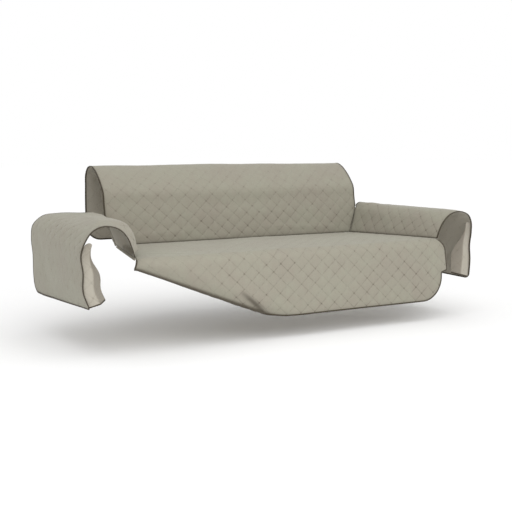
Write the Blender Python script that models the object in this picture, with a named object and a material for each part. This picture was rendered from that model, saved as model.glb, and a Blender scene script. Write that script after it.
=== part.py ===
"""Quilted slipcover, in the shape in which it is worn.

Every piece is cut flat as a slab of quilted cloth, scored where it will bend, and then draped by a function
that turns a flat place and a height above the cloth's middle into a place in space.

Frame: metres, x across the seat, y to the rear, z up. The origin lies under the middle of the back's ridge,
where the cover hangs.
"""
import math
from collections import namedtuple

import bmesh
import bpy
import numpy as np
from mathutils import Matrix, Vector

# Cloth and tape
CLOTH = 0.003               # thickness of the cloth along a stitch line
PUFF = 0.003                # how far the middle of a diamond stands above its stitch lines
DIAMOND_WIDE = 0.082        # quilting diamond, corner to corner across a panel
DIAMOND_LONG = 0.073        # quilting diamond, corner to corner along a panel
BINDING_WIDE = 0.008
BINDING_THICK = 0.0045
GAP = 0.0003                # between panels that are sewn together
TAPE_GAP = 0.0005           # between a panel's edge and its binding
BINDING_END = 0.007         # a binding stops this far short of a seam
SNAP = 0.006                # a diamond's corner this near a cut moves onto it
FOLD_SNAP = 0.0025          # the same along the tight fold of the turned corner
SNAP_SHARE = 0.4            # ... but never by more than this share of the cut's length
SHORTEST = 0.0008           # points of the flat cloth nearer than this become one
WHOLE = 0.4                 # a diamond cut smaller than this share of a whole one stays flat
ARC_STEP = 20               # degrees of a round corner from point to point
HALF_THICK = CLOTH / 2
FREE_INSET = BINDING_WIDE + TAPE_GAP
EDGE_RUN = 1e-5             # a point this near a line lies on it
DRAPE_STEP = 1e-4           # step with which a draped surface's slope is taken

# Main sizes of the worn cover
BACK_HALF = 0.8025          # half the width of the back panel
CREASE_HALF = 0.745         # half the length of the seam between back and seat
CREASE_Y, CREASE_Z = -0.225, -0.402
FRONT_HALF = 0.883          # half the seat's width between the arms' front ends
ARM_FRONT_Y, ARM_FRONT_Z = -0.845, -0.395
FLAP_Y = -0.875             # the front flap hangs in this plane
FLAP_HEM_Z = -0.732
ARM_HEM_Z = -0.624
REAR_HEM_Z = -0.400
SEAT_CROWN = 0.013
SEAT_EDGE_RADIUS = 0.050
ARM_TOP_SWELL = 0.010       # the arm cover stands this much fuller behind its front edge
SEAT_EDGE_STEPS = 4

# Outlines
REAR_CORNER = 0.080         # radius of the rear flap's bottom corners
FLAP_CORNER = 0.120         # radius of the front flap's bottom corners
ARM_CORNER = 0.050          # radius of the outer flap's rear bottom corner
ARM_NOTCH = 0.012           # flat distance from the arm panel's back seam to its first bound edge
BACK_WIDEN = 0.004          # flat distance in which the back panel widens above the arm seams
WING_HALF = 0.930           # half the front flap's width where it wraps the seat's front corners
WING_END_Z = -0.572
FLAP_HALF = 0.894           # half the front flap's width below the wings
WING_STEP = 0.008
WING_SHOULDER = 0.066       # flat distance in which the panel widens from the arm seam's end to the wing

# The strip turned in at the front of each outer flap
RETURN_TOP_Z = -0.328       # it starts under the roll
RETURN_FRONT = 0.045        # width of its part that faces the front
RETURN_RADIUS = 0.012       # the rest bends back with this radius, by this many degrees
RETURN_TURN = 55
RETURN_WIDE_TOP = 0.062
RETURN_WIDE_HEM = 0.108
RETURN_ROWS = 9
RETURN_HEM_RISE = 0.026     # its inner bottom corner hangs higher than the flap's hem
RETURN_LOOSE = 0.0060       # its top end stands this much further off the curved flap, and over this length
RETURN_LOOSE_RUN = 0.14
RETURN_GAP = 0.0008         # between the strip and the flap that it is sewn to

# Angles that the cloth turns through at the seams, in degrees, and the space each seam takes on a panel
BACK_SEAT_TURN = 81
SEAT_ARM_TURN = 66
ARM_BACK_TURN = 78
SEAM_SWEEP = 0.0009         # more space where the arm's straight cut meets the back's curved face

ProfilePoint = namedtuple("ProfilePoint", "name y z")
ArmPoint = namedtuple("ArmPoint", "name front_x front_z rear_x rear_z")
ArmEdge = namedtuple("ArmEdge", "name section past y radius")
Outline = namedtuple("Outline", "u v radius")

BACK_PROFILE = [
    ProfilePoint("crease", CREASE_Y, CREASE_Z),
    ProfilePoint("arm seam top", -0.202, -0.257),
    ProfilePoint("cushion groove", -0.188, -0.190),
    ProfilePoint("above groove", -0.176, -0.130),
    ProfilePoint("shoulder", -0.147, -0.090),
    ProfilePoint("rise", -0.101, -0.045),
    ProfilePoint("near ridge", -0.058, -0.016),
    ProfilePoint("ridge", -0.005, 0.0015),
    ProfilePoint("past ridge", 0.040, -0.009),
    ProfilePoint("rear shoulder", 0.068, -0.040),
    ProfilePoint("rear face", 0.076, -0.110),
    ProfilePoint("rear hem", 0.080, REAR_HEM_Z),
]

ARM_PROFILE = [
    ArmPoint("seat seam", FRONT_HALF, ARM_FRONT_Z, CREASE_HALF, CREASE_Z),
    ArmPoint("inner side", 0.906, -0.345, 0.774, -0.329),
    ArmPoint("inner shoulder", 0.935, -0.302, BACK_HALF, -0.257),
    ArmPoint("top, inner", 0.973, -0.267, 0.850, -0.236),
    ArmPoint("top", 1.022, -0.248, 0.925, -0.231),
    ArmPoint("top, outer", 1.072, -0.249, 1.010, -0.233),
    ArmPoint("outer shoulder", 1.114, -0.272, 1.080, -0.254),
    ArmPoint("side of the roll", 1.138, -0.312, 1.124, -0.292),
    ArmPoint("below the roll", 1.143, -0.368, 1.142, -0.350),
    ArmPoint("middle of the flap", 1.135, -0.447, 1.144, -0.440),
    ArmPoint("low on the flap", 1.130, -0.535, 1.141, -0.535),
    ArmPoint("hem", 1.124, ARM_HEM_Z, 1.134, ARM_HEM_Z),
]
FLAP_FLARE = {"left": 0.018, "right": 0.0}      # how far a flap's front edge stands off, as uneven as shown
FLARE_START, FLARE_FULL = 0.45, 0.75            # shares of the arm panel's width between which it grows
FLARE_REACH = 1.5                               # ... and at which it would have faded again

# The arm panel's rear edge: the section's point that each of its corners lies at, how far past it, and y
SEAM_TOP, HEM = 2, len(ARM_PROFILE) - 1
ARM_REAR_EDGE = [
    ArmEdge("top of the back's seam", SEAM_TOP, ARM_NOTCH, -0.195, 0),
    ArmEdge("beside the back", 3, 0.040, -0.185, 0),
    ArmEdge("over the roll", 5, 0, -0.135, 0),
    ArmEdge("side of the roll", 7, 0, -0.105, 0),
    ArmEdge("hem", HEM, -FREE_INSET, -0.095, ARM_CORNER),
]

# Colours, linear
CLOTH_COLOUR = (0.376, 0.361, 0.287, 1)
TAPE_COLOUR = (0.150, 0.130, 0.090, 1)


def seam_inset(turn):
    """Space that a panel leaves at a seam where the cloth turns through an angle, so that the edges clear."""
    half = math.radians(turn) / 2
    return HALF_THICK * math.tan(half) + GAP / math.cos(half)


class Curve:
    """A smooth curve through a table's points, read by the distance along it."""

    def __init__(self, points, steps=24):
        knots = np.array(points, float)
        chord = self.lengths(knots)
        slope = np.gradient(knots, chord, axis=0)
        pieces = []
        for i, span in enumerate(np.diff(chord)):
            w = np.linspace(0, 1, steps, endpoint=False)[:, None]
            pieces.append((2 * w**3 - 3 * w**2 + 1) * knots[i] + (3 * w**2 - 2 * w**3) * knots[i + 1]
                          + span * ((w**3 - 2 * w**2 + w) * slope[i] + (w**3 - w**2) * slope[i + 1]))
        self.points = np.vstack(pieces + [knots[-1:]])
        self.run = self.lengths(self.points)
        self.knot_runs = self.run[::steps]
        self.length = self.run[-1]

    @staticmethod
    def lengths(points):
        return np.concatenate([[0], np.cumsum(np.linalg.norm(np.diff(points, axis=0), axis=1))])

    def at(self, distance):
        """The point at a distance, straight on past either end."""
        inside = min(max(distance, 0), self.length)
        point = np.array([np.interp(inside, self.run, column) for column in self.points.T])
        if distance < 0:
            point += (self.points[1] - self.points[0]) / self.run[1] * distance
        elif distance > self.length:
            last = self.points[-1] - self.points[-2]
            point += last / np.linalg.norm(last) * (distance - self.length)
        return point


# ---------------------------------------------------------------------------------------------------------
# Draped surfaces: each takes a flat place (u, v) and gives the place of the cloth's middle layer
# ---------------------------------------------------------------------------------------------------------

BACK_CURVE = Curve([(p.y, p.z) for p in BACK_PROFILE])
BACK_SEAM_TOP = BACK_CURVE.knot_runs[1]


def back_surface(u, v):
    """Back panel: u across, v up from the crease, over the ridge and down behind."""
    y, z = BACK_CURVE.at(v)
    return Vector((u, y, z))


SEAT_RUN = CREASE_Y - ARM_FRONT_Y                               # crease to the arms' front, along y
EDGE_START = CREASE_Y - (FLAP_Y + SEAT_EDGE_RADIUS)             # flat distance at which the seat turns down
EDGE_END = EDGE_START + SEAT_EDGE_RADIUS * math.pi / 2
EDGE_Z = CREASE_Z + (ARM_FRONT_Z - CREASE_Z) * EDGE_START / SEAT_RUN
ARM_SEAM_END = EDGE_START + SEAT_EDGE_RADIUS * math.asin((SEAT_RUN - EDGE_START) / SEAT_EDGE_RADIUS)


def flap_v(z):
    """Flat distance from the crease of a height on the front flap."""
    return EDGE_END + EDGE_Z - SEAT_EDGE_RADIUS - z


def seat_half(v):
    """Half the seat panel's width between its seams with the arms."""
    return CREASE_HALF + (FRONT_HALF - CREASE_HALF) * v / ARM_SEAM_END


def seat_surface(u, v):
    """Seat panel: u across, v forward from the crease, round the front edge and down the front flap."""
    if v < EDGE_START:
        rise = SEAT_CROWN * math.sin(math.pi * max(v, 0) / EDGE_START)
        rise *= 1 - min(abs(u) / seat_half(v), 1) ** 6
        return Vector((u, CREASE_Y - v, CREASE_Z + (EDGE_Z - CREASE_Z) * v / EDGE_START + rise))
    turn = min((v - EDGE_START) / SEAT_EDGE_RADIUS, math.pi / 2)
    below = max(v - EDGE_END, 0)
    y = CREASE_Y - EDGE_START - SEAT_EDGE_RADIUS * math.sin(turn)
    z = EDGE_Z - SEAT_EDGE_RADIUS * (1 - math.cos(turn)) - below
    return Vector((u, y, z))


class ArmSurface:
    """Arm panel: u from the seat seam over the roll to the outer hem, v along the arm to the rear (the y
    coordinate itself). A section at the front blends into a section at the back of the seat."""

    def __init__(self, side):
        self.side = -1 if side == "left" else 1
        self.flare = FLAP_FLARE[side]
        self.front = Curve([(p.front_x, p.front_z) for p in ARM_PROFILE])
        self.rear = Curve([(p.rear_x, p.rear_z) for p in ARM_PROFILE])
        self.width = (self.front.length + self.rear.length) / 2

    def u_of(self, curve, distance):
        """Flat u of a distance along one of the two sections."""
        return distance / curve.length * self.width

    def __call__(self, u, v):
        share = u / self.width
        back = min(max((v - ARM_FRONT_Y) / SEAT_RUN, 0), 1)
        front = self.front.at(share * self.front.length)
        x, z = front + back * (self.rear.at(share * self.rear.length) - front)
        along = min(max((v - ARM_FRONT_Y) / -ARM_FRONT_Y, 0), 1)
        z += ARM_TOP_SWELL * math.sin(math.pi * min(max(share, 0), 1)) ** 2 * math.sin(math.pi * along ** 0.5)
        outer = min(max((share - FLARE_START) / (FLARE_FULL - FLARE_START), 0), 1)
        x += self.flare * outer * outer * (3 - 2 * outer) * (1 - along) * (FLARE_REACH - share)
        return Vector((self.side * x, v, z))


class ReturnSurface:
    """The strip turned in at the front of an arm's outer flap: u down the flap (the arm panel's own u), v
    level inwards. It faces the front at first and then bends back."""

    def __init__(self, arm, top):
        self.arm = arm
        self.top = top
        self.edge_y = ARM_FRONT_Y + FREE_INSET + HALF_THICK + GAP

    def __call__(self, u, v):
        root = self.arm(u, self.edge_y)
        turn = math.radians(RETURN_TURN)
        bend = RETURN_RADIUS * turn
        angle = min(max(v - RETURN_FRONT, 0), bend) / RETURN_RADIUS
        beyond = max(v - RETURN_FRONT - bend, 0)
        across = min(v, RETURN_FRONT) + RETURN_RADIUS * math.sin(angle) + beyond * math.cos(turn)
        back = RETURN_RADIUS * (1 - math.cos(angle)) + beyond * math.sin(turn)
        loose = RETURN_LOOSE * max(0, 1 - (u - self.top) / RETURN_LOOSE_RUN)
        return root + Vector((-self.arm.side * (HALF_THICK + loose + across), back, 0))


class TurnedCorner:
    """Turns the cloth of a surface under along a straight line in the flat, as a round fold and then a layer
    behind. The fold keeps the cloth's length."""

    def __init__(self, surface, start, end, radius):
        self.surface = surface
        self.start = Vector(start)
        self.radius = radius
        self.along = (Vector(end) - self.start).normalized()
        self.out = Vector((-self.along.y, self.along.x))        # towards the corner that is turned under
        self.bend = math.pi * radius

    def past(self, u, v):
        return (Vector((u, v)) - self.start).dot(self.out)

    def place(self, u, v):
        """Foot on the visible layer, how far the cloth has turned, and the reach beyond the fold line."""
        past = self.past(u, v)
        if past <= 0:
            return Vector((u, v)), 0, 0
        if past < self.bend:
            turn = past / self.radius
            return Vector((u, v)) - self.out * past, turn, self.radius * math.sin(turn)
        return Vector((u, v)) - self.out * (2 * past - self.bend), math.pi, 0

    def unturned(self, u, v):
        """Flat place of the turned layer that comes to lie behind (u, v)."""
        return Vector((u, v)) + self.out * (self.bend - 2 * self.past(u, v))


# The front flap's left corner is turned under along a line between these two places on the flap
CORNER_START = (-0.917, -0.438)     # x, z
CORNER_END = (-0.240, -0.701)
CORNER_RADIUS = 0.006
CORNER_STEPS = 6
CORNER_SCORE = (-0.10, 0.85)        # the fold is scored from here to here along its line
CORNER_BENDS = (-0.90, -0.45)       # x between which the turned layer bends round the seat's front edge
CORNER = TurnedCorner(seat_surface, (CORNER_START[0], flap_v(CORNER_START[1])),
                      (CORNER_END[0], flap_v(CORNER_END[1])), CORNER_RADIUS)


def outward_of(surface, u, v, facing):
    """Unit vector out of the cloth's outer side."""
    across = surface(u + DRAPE_STEP, v) - surface(u - DRAPE_STEP, v)
    along = surface(u, v + DRAPE_STEP) - surface(u, v - DRAPE_STEP)
    return across.cross(along).normalized() * facing


def draper(surface, facing):
    """Drape function of a plain surface: flat place and height to a place in space."""
    def drape(u, v, height):
        return surface(u, v) + outward_of(surface, u, v, facing) * height
    return drape


def drape_seat(u, v, height):
    """Drape function of the seat panel, with its turned corner."""
    foot, turn, reach = CORNER.place(u, v)
    outward = outward_of(seat_surface, foot.x, foot.y, -1)
    ahead = seat_surface(*(foot + CORNER.out * DRAPE_STEP)) - seat_surface(*(foot - CORNER.out * DRAPE_STEP))
    ahead.normalize()
    middle = seat_surface(foot.x, foot.y) + ahead * reach - outward * CORNER_RADIUS * (1 - math.cos(turn))
    return middle + (outward * math.cos(turn) + ahead * math.sin(turn)) * height


# ---------------------------------------------------------------------------------------------------------
# Cutting the flat cloth
# ---------------------------------------------------------------------------------------------------------

def rounded(corners):
    """Outline polygon from corners with radii, a round corner as a short run of points on its arc."""
    points = []
    for i, corner in enumerate(corners):
        here = Vector((corner.u, corner.v))
        before = Vector(corners[i - 1][:2]) - here
        after = Vector(corners[(i + 1) % len(corners)][:2]) - here
        if not corner.radius:
            points.append(here)
            continue
        before.normalize()
        after.normalize()
        half = before.angle(after) / 2
        centre = here + (before + after).normalized() * corner.radius / math.sin(half)
        first = here + before * corner.radius / math.tan(half) - centre
        last = here + after * corner.radius / math.tan(half) - centre
        sweep = -first.angle_signed(last)
        steps = max(2, round(abs(sweep) / math.radians(ARC_STEP)))
        for step in range(steps + 1):
            points.append(centre + Matrix.Rotation(sweep * step / steps, 2) @ first)
    return points


def quilting(outline):
    """Flat grid of quilting diamonds that reaches past an outline: a square grid turned by 45 degrees and
    stretched to the diamonds' size."""
    us = [p.x for p in outline]
    vs = [p.y for p in outline]
    centre_v = (min(vs) + max(vs)) / 2
    cells = math.ceil((max(us) - min(us)) / DIAMOND_WIDE + (max(vs) - min(vs)) / DIAMOND_LONG) + 2
    cells += cells % 2
    bm = bmesh.new()
    bmesh.ops.create_grid(bm, x_segments=cells, y_segments=cells, size=cells / 2)
    centre_u = (min(us) + max(us)) / 2
    for vert in bm.verts:
        i, j = vert.co.x, vert.co.y
        vert.co = Vector((centre_u + (i - j) * DIAMOND_WIDE / 2, centre_v + (i + j) * DIAMOND_LONG / 2, 0))
    return bm


def score(bm, lines, start, end, snap):
    """Cut the flat cloth along a line from start to end. Corners of diamonds near the line move onto it, and
    one that already lies on an earlier line slides along that line."""
    run = (end - start).length
    along = (end - start) / run
    normal = Vector((-along.y, along.x))
    for vert in bm.verts:
        offset = vert.co.xy - start
        distance = offset.dot(normal)
        if not EDGE_RUN < abs(distance) < snap or not -snap < offset.dot(along) < run + snap:
            continue
        held = [line for line in lines if lies_on(vert.co.xy, line)]
        if not held:
            vert.co.xy -= normal * distance
        elif len(held) == 1:
            slide = (held[0][1] - held[0][0]).normalized()
            if abs(slide.dot(normal)) > 0.5:
                vert.co.xy -= slide * distance / slide.dot(normal)
    crossed = []
    for face in bm.faces:
        reach = [(vert.co.xy - start).dot(along) for vert in face.verts]
        sides = [(vert.co.xy - start).dot(normal) for vert in face.verts]
        if min(sides) > -EDGE_RUN or max(sides) < EDGE_RUN:
            continue
        meets = []
        for k, side in enumerate(sides):
            if sides[k - 1] * side <= 0 and sides[k - 1] != side:
                meets.append(reach[k - 1] + (reach[k] - reach[k - 1]) * sides[k - 1] / (sides[k - 1] - side))
        if meets and max(meets) > EDGE_RUN and min(meets) < run - EDGE_RUN:
            crossed.append(face)
    edges = {edge for face in crossed for edge in face.edges}
    verts = {vert for face in crossed for vert in face.verts}
    bmesh.ops.bisect_plane(bm, geom=list(verts) + list(edges) + crossed, dist=EDGE_RUN,
                           plane_co=(start.x, start.y, 0), plane_no=(normal.x, normal.y, 0))
    lines.append((start, end))


def lies_on(point, line):
    """Whether a flat point lies on a line that was scored before."""
    start, end = line
    run = (end - start).length
    along = (end - start) / run
    offset = point - start
    across = abs(offset.x * along.y - offset.y * along.x)
    return across < 2 * EDGE_RUN and -EDGE_RUN < offset.dot(along) < run + EDGE_RUN


def inside(point, outline):
    """Whether a flat point lies inside an outline."""
    odd = False
    for a, b in zip(outline, outline[1:] + outline[:1]):
        if (a.y > point.y) != (b.y > point.y):
            if point.x < a.x + (b.x - a.x) * (point.y - a.y) / (b.y - a.y):
                odd = not odd
    return odd


def cut_flat(outline, bends=(), folds=()):
    """Quilted cloth cut to its outline, in the flat and without thickness."""
    bm = quilting(outline)
    lines = []
    for start, end in bends:
        score(bm, lines, start, end, SNAP)
    for start, end in folds:
        score(bm, lines, start, end, FOLD_SNAP)
    for start, end in zip(outline, outline[1:] + outline[:1]):
        score(bm, lines, start, end, min(SNAP, SNAP_SHARE * (end - start).length))
    waste = [face for face in bm.faces if not inside(face.calc_center_median().xy, outline)]
    bmesh.ops.delete(bm, geom=waste, context="FACES")
    bmesh.ops.remove_doubles(bm, verts=bm.verts[:], dist=SHORTEST)
    return bm


def cut_strip(top, low):
    """The turned-in strip in the flat, unquilted: rows down its length and columns along its bends. It widens
    towards the hem, which rises inwards."""
    bend = RETURN_RADIUS * math.radians(RETURN_TURN)
    columns = [RETURN_GAP, RETURN_FRONT / 2, RETURN_FRONT, RETURN_FRONT + bend / 2, RETURN_FRONT + bend]
    bm = bmesh.new()
    rows = []
    for row in range(RETURN_ROWS + 1):
        down = row / RETURN_ROWS
        edge = RETURN_WIDE_TOP + (RETURN_WIDE_HEM - RETURN_WIDE_TOP) * down
        rows.append([])
        for v in columns + [edge]:
            length = low - top - RETURN_HEM_RISE * v / RETURN_WIDE_HEM
            rows[-1].append(bm.verts.new((top + length * down, v, 0)))
    for upper, lower in zip(rows, rows[1:]):
        for k in range(len(columns)):
            bm.faces.new((upper[k], upper[k + 1], lower[k + 1], lower[k]))
    return bm


def tape_flat(flat, is_free):
    """Binding along the free edges of flat cloth: the edge widened outwards, with the cloth taken away."""
    bm = flat.copy()
    push_layer = bm.verts.layers.float_vector.new("push")
    edges = [e for e in bm.edges if e.is_boundary and is_free(*((e.verts[0].co + e.verts[1].co) / 2).xy)]
    ends = {}
    for edge in edges:
        for vert in edge.verts:
            ends.setdefault(vert, []).append(edge)
    last = {found[0] for found in ends.values() if len(found) == 1}
    edges = [edge for edge in edges if edge not in last or edge.calc_length() > 2 * BINDING_END]
    pushes = {}
    for edge in edges:
        a, b = edge.verts
        across = Vector((b.co.y - a.co.y, a.co.x - b.co.x)).normalized()
        if across.dot((a.co + b.co).xy / 2 - edge.link_faces[0].calc_center_median().xy) < 0:
            across.negate()
        for vert, other in ((a, b), (b, a)):
            pushes.setdefault(vert, []).append((across, (other.co - vert.co).xy.normalized()))
    for vert, found in pushes.items():
        push = found[0][0]
        if len(found) == 2:
            push = (push + found[1][0]) / (1 + push.dot(found[1][0]))
        else:
            vert.co.xy += found[0][1] * BINDING_END
        vert[push_layer] = (push.x, push.y, 0)
    cloth = bm.faces[:]
    made = bmesh.ops.extrude_edge_only(bm, edges=edges)["geom"]
    outer = {item for item in made if isinstance(item, bmesh.types.BMVert)}
    for vert in bm.verts:
        vert.co += vert[push_layer] * (TAPE_GAP + BINDING_WIDE if vert in outer else TAPE_GAP)
    bmesh.ops.delete(bm, geom=cloth, context="FACES")
    return bm


def thicken(bm, thickness, puff=0.0):
    """Give flat cloth its thickness and raise the middle of each whole diamond on the outer side."""
    made = bmesh.ops.extrude_face_region(bm, geom=bm.faces[:], use_keep_orig=True)["geom"]
    outer = {item for item in made if isinstance(item, bmesh.types.BMVert)}
    for vert in bm.verts:
        vert.co.z = thickness / 2 if vert in outer else -thickness / 2
    bmesh.ops.recalc_face_normals(bm, faces=bm.faces[:])
    if puff:
        cell = DIAMOND_WIDE * DIAMOND_LONG / 2
        tops = [f for f in bm.faces if f.normal.z > 0.9 and f.calc_area() > WHOLE * cell]
        raised = bmesh.ops.poke(bm, faces=tops)["verts"]
        for vert in raised:
            vert.co.z += puff * min(1, sum(face.calc_area() for face in vert.link_faces) / cell)


def split_walls(bm):
    """Split the cut edge's faces the same way on a panel and on its binding, so that both twist alike."""
    for face in [f for f in bm.faces if abs(f.normal.z) < 0.5 and len(f.verts) == 4]:
        corners = sorted(face.verts, key=lambda vert: vert.co.z)
        a, b = corners[0], next(v for v in corners[2:] if (v.co - corners[0].co).xy.length > EDGE_RUN)
        run = (b.co - a.co).xy
        if (run.x if abs(run.x) > abs(run.y) else run.y) < 0:
            a, b = corners[1], next(v for v in corners[2:] if v is not b)
        bmesh.utils.face_split(face, a, b)


def drape_solid(bm, drape, facing):
    """Move every point of flat cloth to its place in the worn cover."""
    split_walls(bm)
    for vert in bm.verts:
        vert.co = drape(*vert.co)
    if facing < 0:
        bmesh.ops.reverse_faces(bm, faces=bm.faces[:])


# ---------------------------------------------------------------------------------------------------------
# Objects
# ---------------------------------------------------------------------------------------------------------

def clear_scene():
    for item in list(bpy.data.objects):
        bpy.data.objects.remove(item)


def cloth_material(name, colour, roughness):
    material = bpy.data.materials.new(name)
    material.use_nodes = True
    shader = material.node_tree.nodes["Principled BSDF"]
    shader.inputs["Base Color"].default_value = colour
    shader.inputs["Roughness"].default_value = roughness
    shader.inputs["Metallic"].default_value = 0.0
    return material


def add_object(name, bm, material, collection):
    mesh = bpy.data.meshes.new(name)
    bm.to_mesh(mesh)
    bm.free()
    mesh.materials.append(material)
    collection.objects.link(bpy.data.objects.new(name, mesh))


def add_panel(name, flat, drape, facing, materials, collection, is_free=None, puff=PUFF):
    """A quilted panel, and its binding where it has free edges."""
    if is_free:
        tape = tape_flat(flat, is_free)
        thicken(tape, BINDING_THICK)
        drape_solid(tape, drape, facing)
        add_object(name.replace("panel", "binding"), tape, materials["tape"], collection)
    thicken(flat, CLOTH, puff)
    drape_solid(flat, drape, facing)
    add_object(name, flat, materials["cloth"], collection)


def across_panel(v, half):
    """A line across a panel at a flat distance v."""
    return Vector((-half, v)), Vector((half, v))


def make_back(materials, collection):
    """Back panel, with its seams to the seat and the arms below and bound edges above and behind."""
    low = seam_inset(BACK_SEAT_TURN)
    side = seam_inset(ARM_BACK_TURN)
    free = BACK_HALF - FREE_INSET
    end = BACK_CURVE.length - FREE_INSET
    right = [Outline(CREASE_HALF - side, low, 0), Outline(BACK_HALF - side, BACK_SEAM_TOP, 0),
             Outline(free, BACK_SEAM_TOP + BACK_WIDEN, 0), Outline(free, end, REAR_CORNER)]
    left = [Outline(-p.u, p.v, p.radius) for p in reversed(right)]
    bends = [across_panel(v, 1) for v in BACK_CURVE.knot_runs[5:11]]
    flat = cut_flat(rounded(right + left), bends)

    def is_free(u, v):
        return v > BACK_SEAM_TOP + BACK_WIDEN

    add_panel("back_panel", flat, draper(back_surface, 1), 1, materials, collection, is_free)


def make_seat(materials, collection):
    """Seat panel with the front flap, whose left corner is turned under."""
    rear = seam_inset(BACK_SEAT_TURN)
    side = seam_inset(SEAT_ARM_TURN)
    wing_end = flap_v(WING_END_Z)
    hem = flap_v(FLAP_HEM_Z) - FREE_INSET
    wing = WING_HALF - FREE_INSET
    flap = FLAP_HALF - FREE_INSET
    right = [Outline(CREASE_HALF - side, rear, 0), Outline(FRONT_HALF - side, ARM_SEAM_END, 0),
             Outline(wing, ARM_SEAM_END + WING_SHOULDER, 0), Outline(wing, wing_end, 0),
             Outline(flap, wing_end + WING_STEP, 0), Outline(flap, hem, FLAP_CORNER)]
    left = [Outline(-p.u, p.v, p.radius) for p in reversed(right)]
    edge = EDGE_END - EDGE_START
    bend_vs = [EDGE_START + edge * k / SEAT_EDGE_STEPS for k in range(SEAT_EDGE_STEPS + 1)]
    bends = [across_panel(v, 1) for v in bend_vs]
    folds = []
    for k in range(CORNER_STEPS + 1):
        line = CORNER.start + CORNER.out * CORNER.bend * k / CORNER_STEPS
        folds.append([line + CORNER.along * reach for reach in CORNER_SCORE])
    folds += [[CORNER.unturned(x, v) for x in CORNER_BENDS] for v in bend_vs]
    flat = cut_flat(rounded(right + left), bends, folds)

    def is_free(u, v):
        return v > ARM_SEAM_END

    add_panel("seat_panel", flat, drape_seat, -1, materials, collection, is_free)


def make_arm(side, materials, collection):
    """Arm panel and the strip turned in at the front of its outer flap."""
    arm = ArmSurface(side)
    seat = seam_inset(SEAT_ARM_TURN)
    back = seam_inset(ARM_BACK_TURN) + SEAM_SWEEP
    front = ARM_FRONT_Y + FREE_INSET
    seam_top = arm.u_of(arm.rear, arm.rear.knot_runs[SEAM_TOP])
    corners = [Outline(seat, front, 0), Outline(seat, CREASE_Y - back, 0),
               Outline(seam_top, BACK_PROFILE[1].y - back, 0)]
    for edge in ARM_REAR_EDGE:
        u = arm.u_of(arm.rear, arm.rear.knot_runs[edge.section]) + edge.past
        corners.append(Outline(u, edge.y, edge.radius))
    corners.append(Outline(arm.width - FREE_INSET, front, 0))
    flat = cut_flat(rounded(corners))

    def is_free(u, v):
        return u > seam_top + ARM_NOTCH or (v < front + EDGE_RUN and u > seat)

    facing = arm.side
    add_panel(f"arm_panel_{side}", flat, draper(arm, facing), facing, materials, collection, is_free)

    below_roll = ARM_PROFILE[7]
    top = arm.u_of(arm.front, arm.front.knot_runs[7] + below_roll.front_z - RETURN_TOP_Z)
    strip = cut_strip(top, arm.width - FREE_INSET)
    drape = draper(ReturnSurface(arm, top), -facing)
    add_panel(f"arm_return_{side}", strip, drape, -facing, materials, collection, puff=0)


def build():
    clear_scene()
    collection = bpy.data.collections.new("sofa_slipcover")
    bpy.context.scene.collection.children.link(collection)
    materials = {"cloth": cloth_material("quilted_cloth", CLOTH_COLOUR, 0.90),
                 "tape": cloth_material("binding_tape", TAPE_COLOUR, 0.85)}
    make_back(materials, collection)
    make_seat(materials, collection)
    for side in ("left", "right"):
        make_arm(side, materials, collection)


build()
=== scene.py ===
"""The looks of a quilted slipcover in its worn shape: cloth, binding, seams, finishes and studio.

Frame: metres, x across the seat, y to the rear, z up. The origin lies under the middle of the back's ridge.
Every panel is a function of two flat parameters (u, v), in metres along the cloth as it was cut, and of a
height above the cloth's middle layer. The sizes are those of the solids.
"""

import logging
import math
from collections.abc import Callable, Sequence
from dataclasses import dataclass, field
from enum import Enum
from typing import Any, NamedTuple

import bmesh
import bpy
import numpy as np
from bpy.types import ID, Material, Mesh, Node, NodeSocket as Socket, NodeTree, Object
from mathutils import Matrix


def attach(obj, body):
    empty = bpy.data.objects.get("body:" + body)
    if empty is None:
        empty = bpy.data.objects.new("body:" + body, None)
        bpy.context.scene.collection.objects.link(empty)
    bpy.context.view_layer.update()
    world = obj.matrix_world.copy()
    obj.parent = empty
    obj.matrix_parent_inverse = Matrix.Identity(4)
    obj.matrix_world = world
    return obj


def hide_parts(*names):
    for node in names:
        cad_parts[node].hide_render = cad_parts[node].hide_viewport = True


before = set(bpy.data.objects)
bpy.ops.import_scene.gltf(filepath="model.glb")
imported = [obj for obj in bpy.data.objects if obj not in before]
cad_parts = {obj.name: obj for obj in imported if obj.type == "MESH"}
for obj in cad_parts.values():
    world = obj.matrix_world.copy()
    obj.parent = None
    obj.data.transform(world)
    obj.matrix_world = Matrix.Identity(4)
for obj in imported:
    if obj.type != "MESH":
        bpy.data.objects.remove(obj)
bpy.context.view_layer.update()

log = logging.getLogger("slipcover")
Array = np.ndarray
Colour = tuple[float, float, float, float]
Place = tuple[float, float, float]
Flat = tuple[float, float]


# ---- Sizes ----

class Side(Enum):
    """Which arm a piece belongs to, as seen from the front; the value is the sign of its x."""

    LEFT = -1
    RIGHT = 1

    @property
    def word(self) -> str:
        """The side as it stands in a name."""
        return self.name.lower()


class Row(Enum):
    """Which flat direction the rows of a cut panel follow."""

    ACROSS = "u"
    ALONG = "v"


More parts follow.
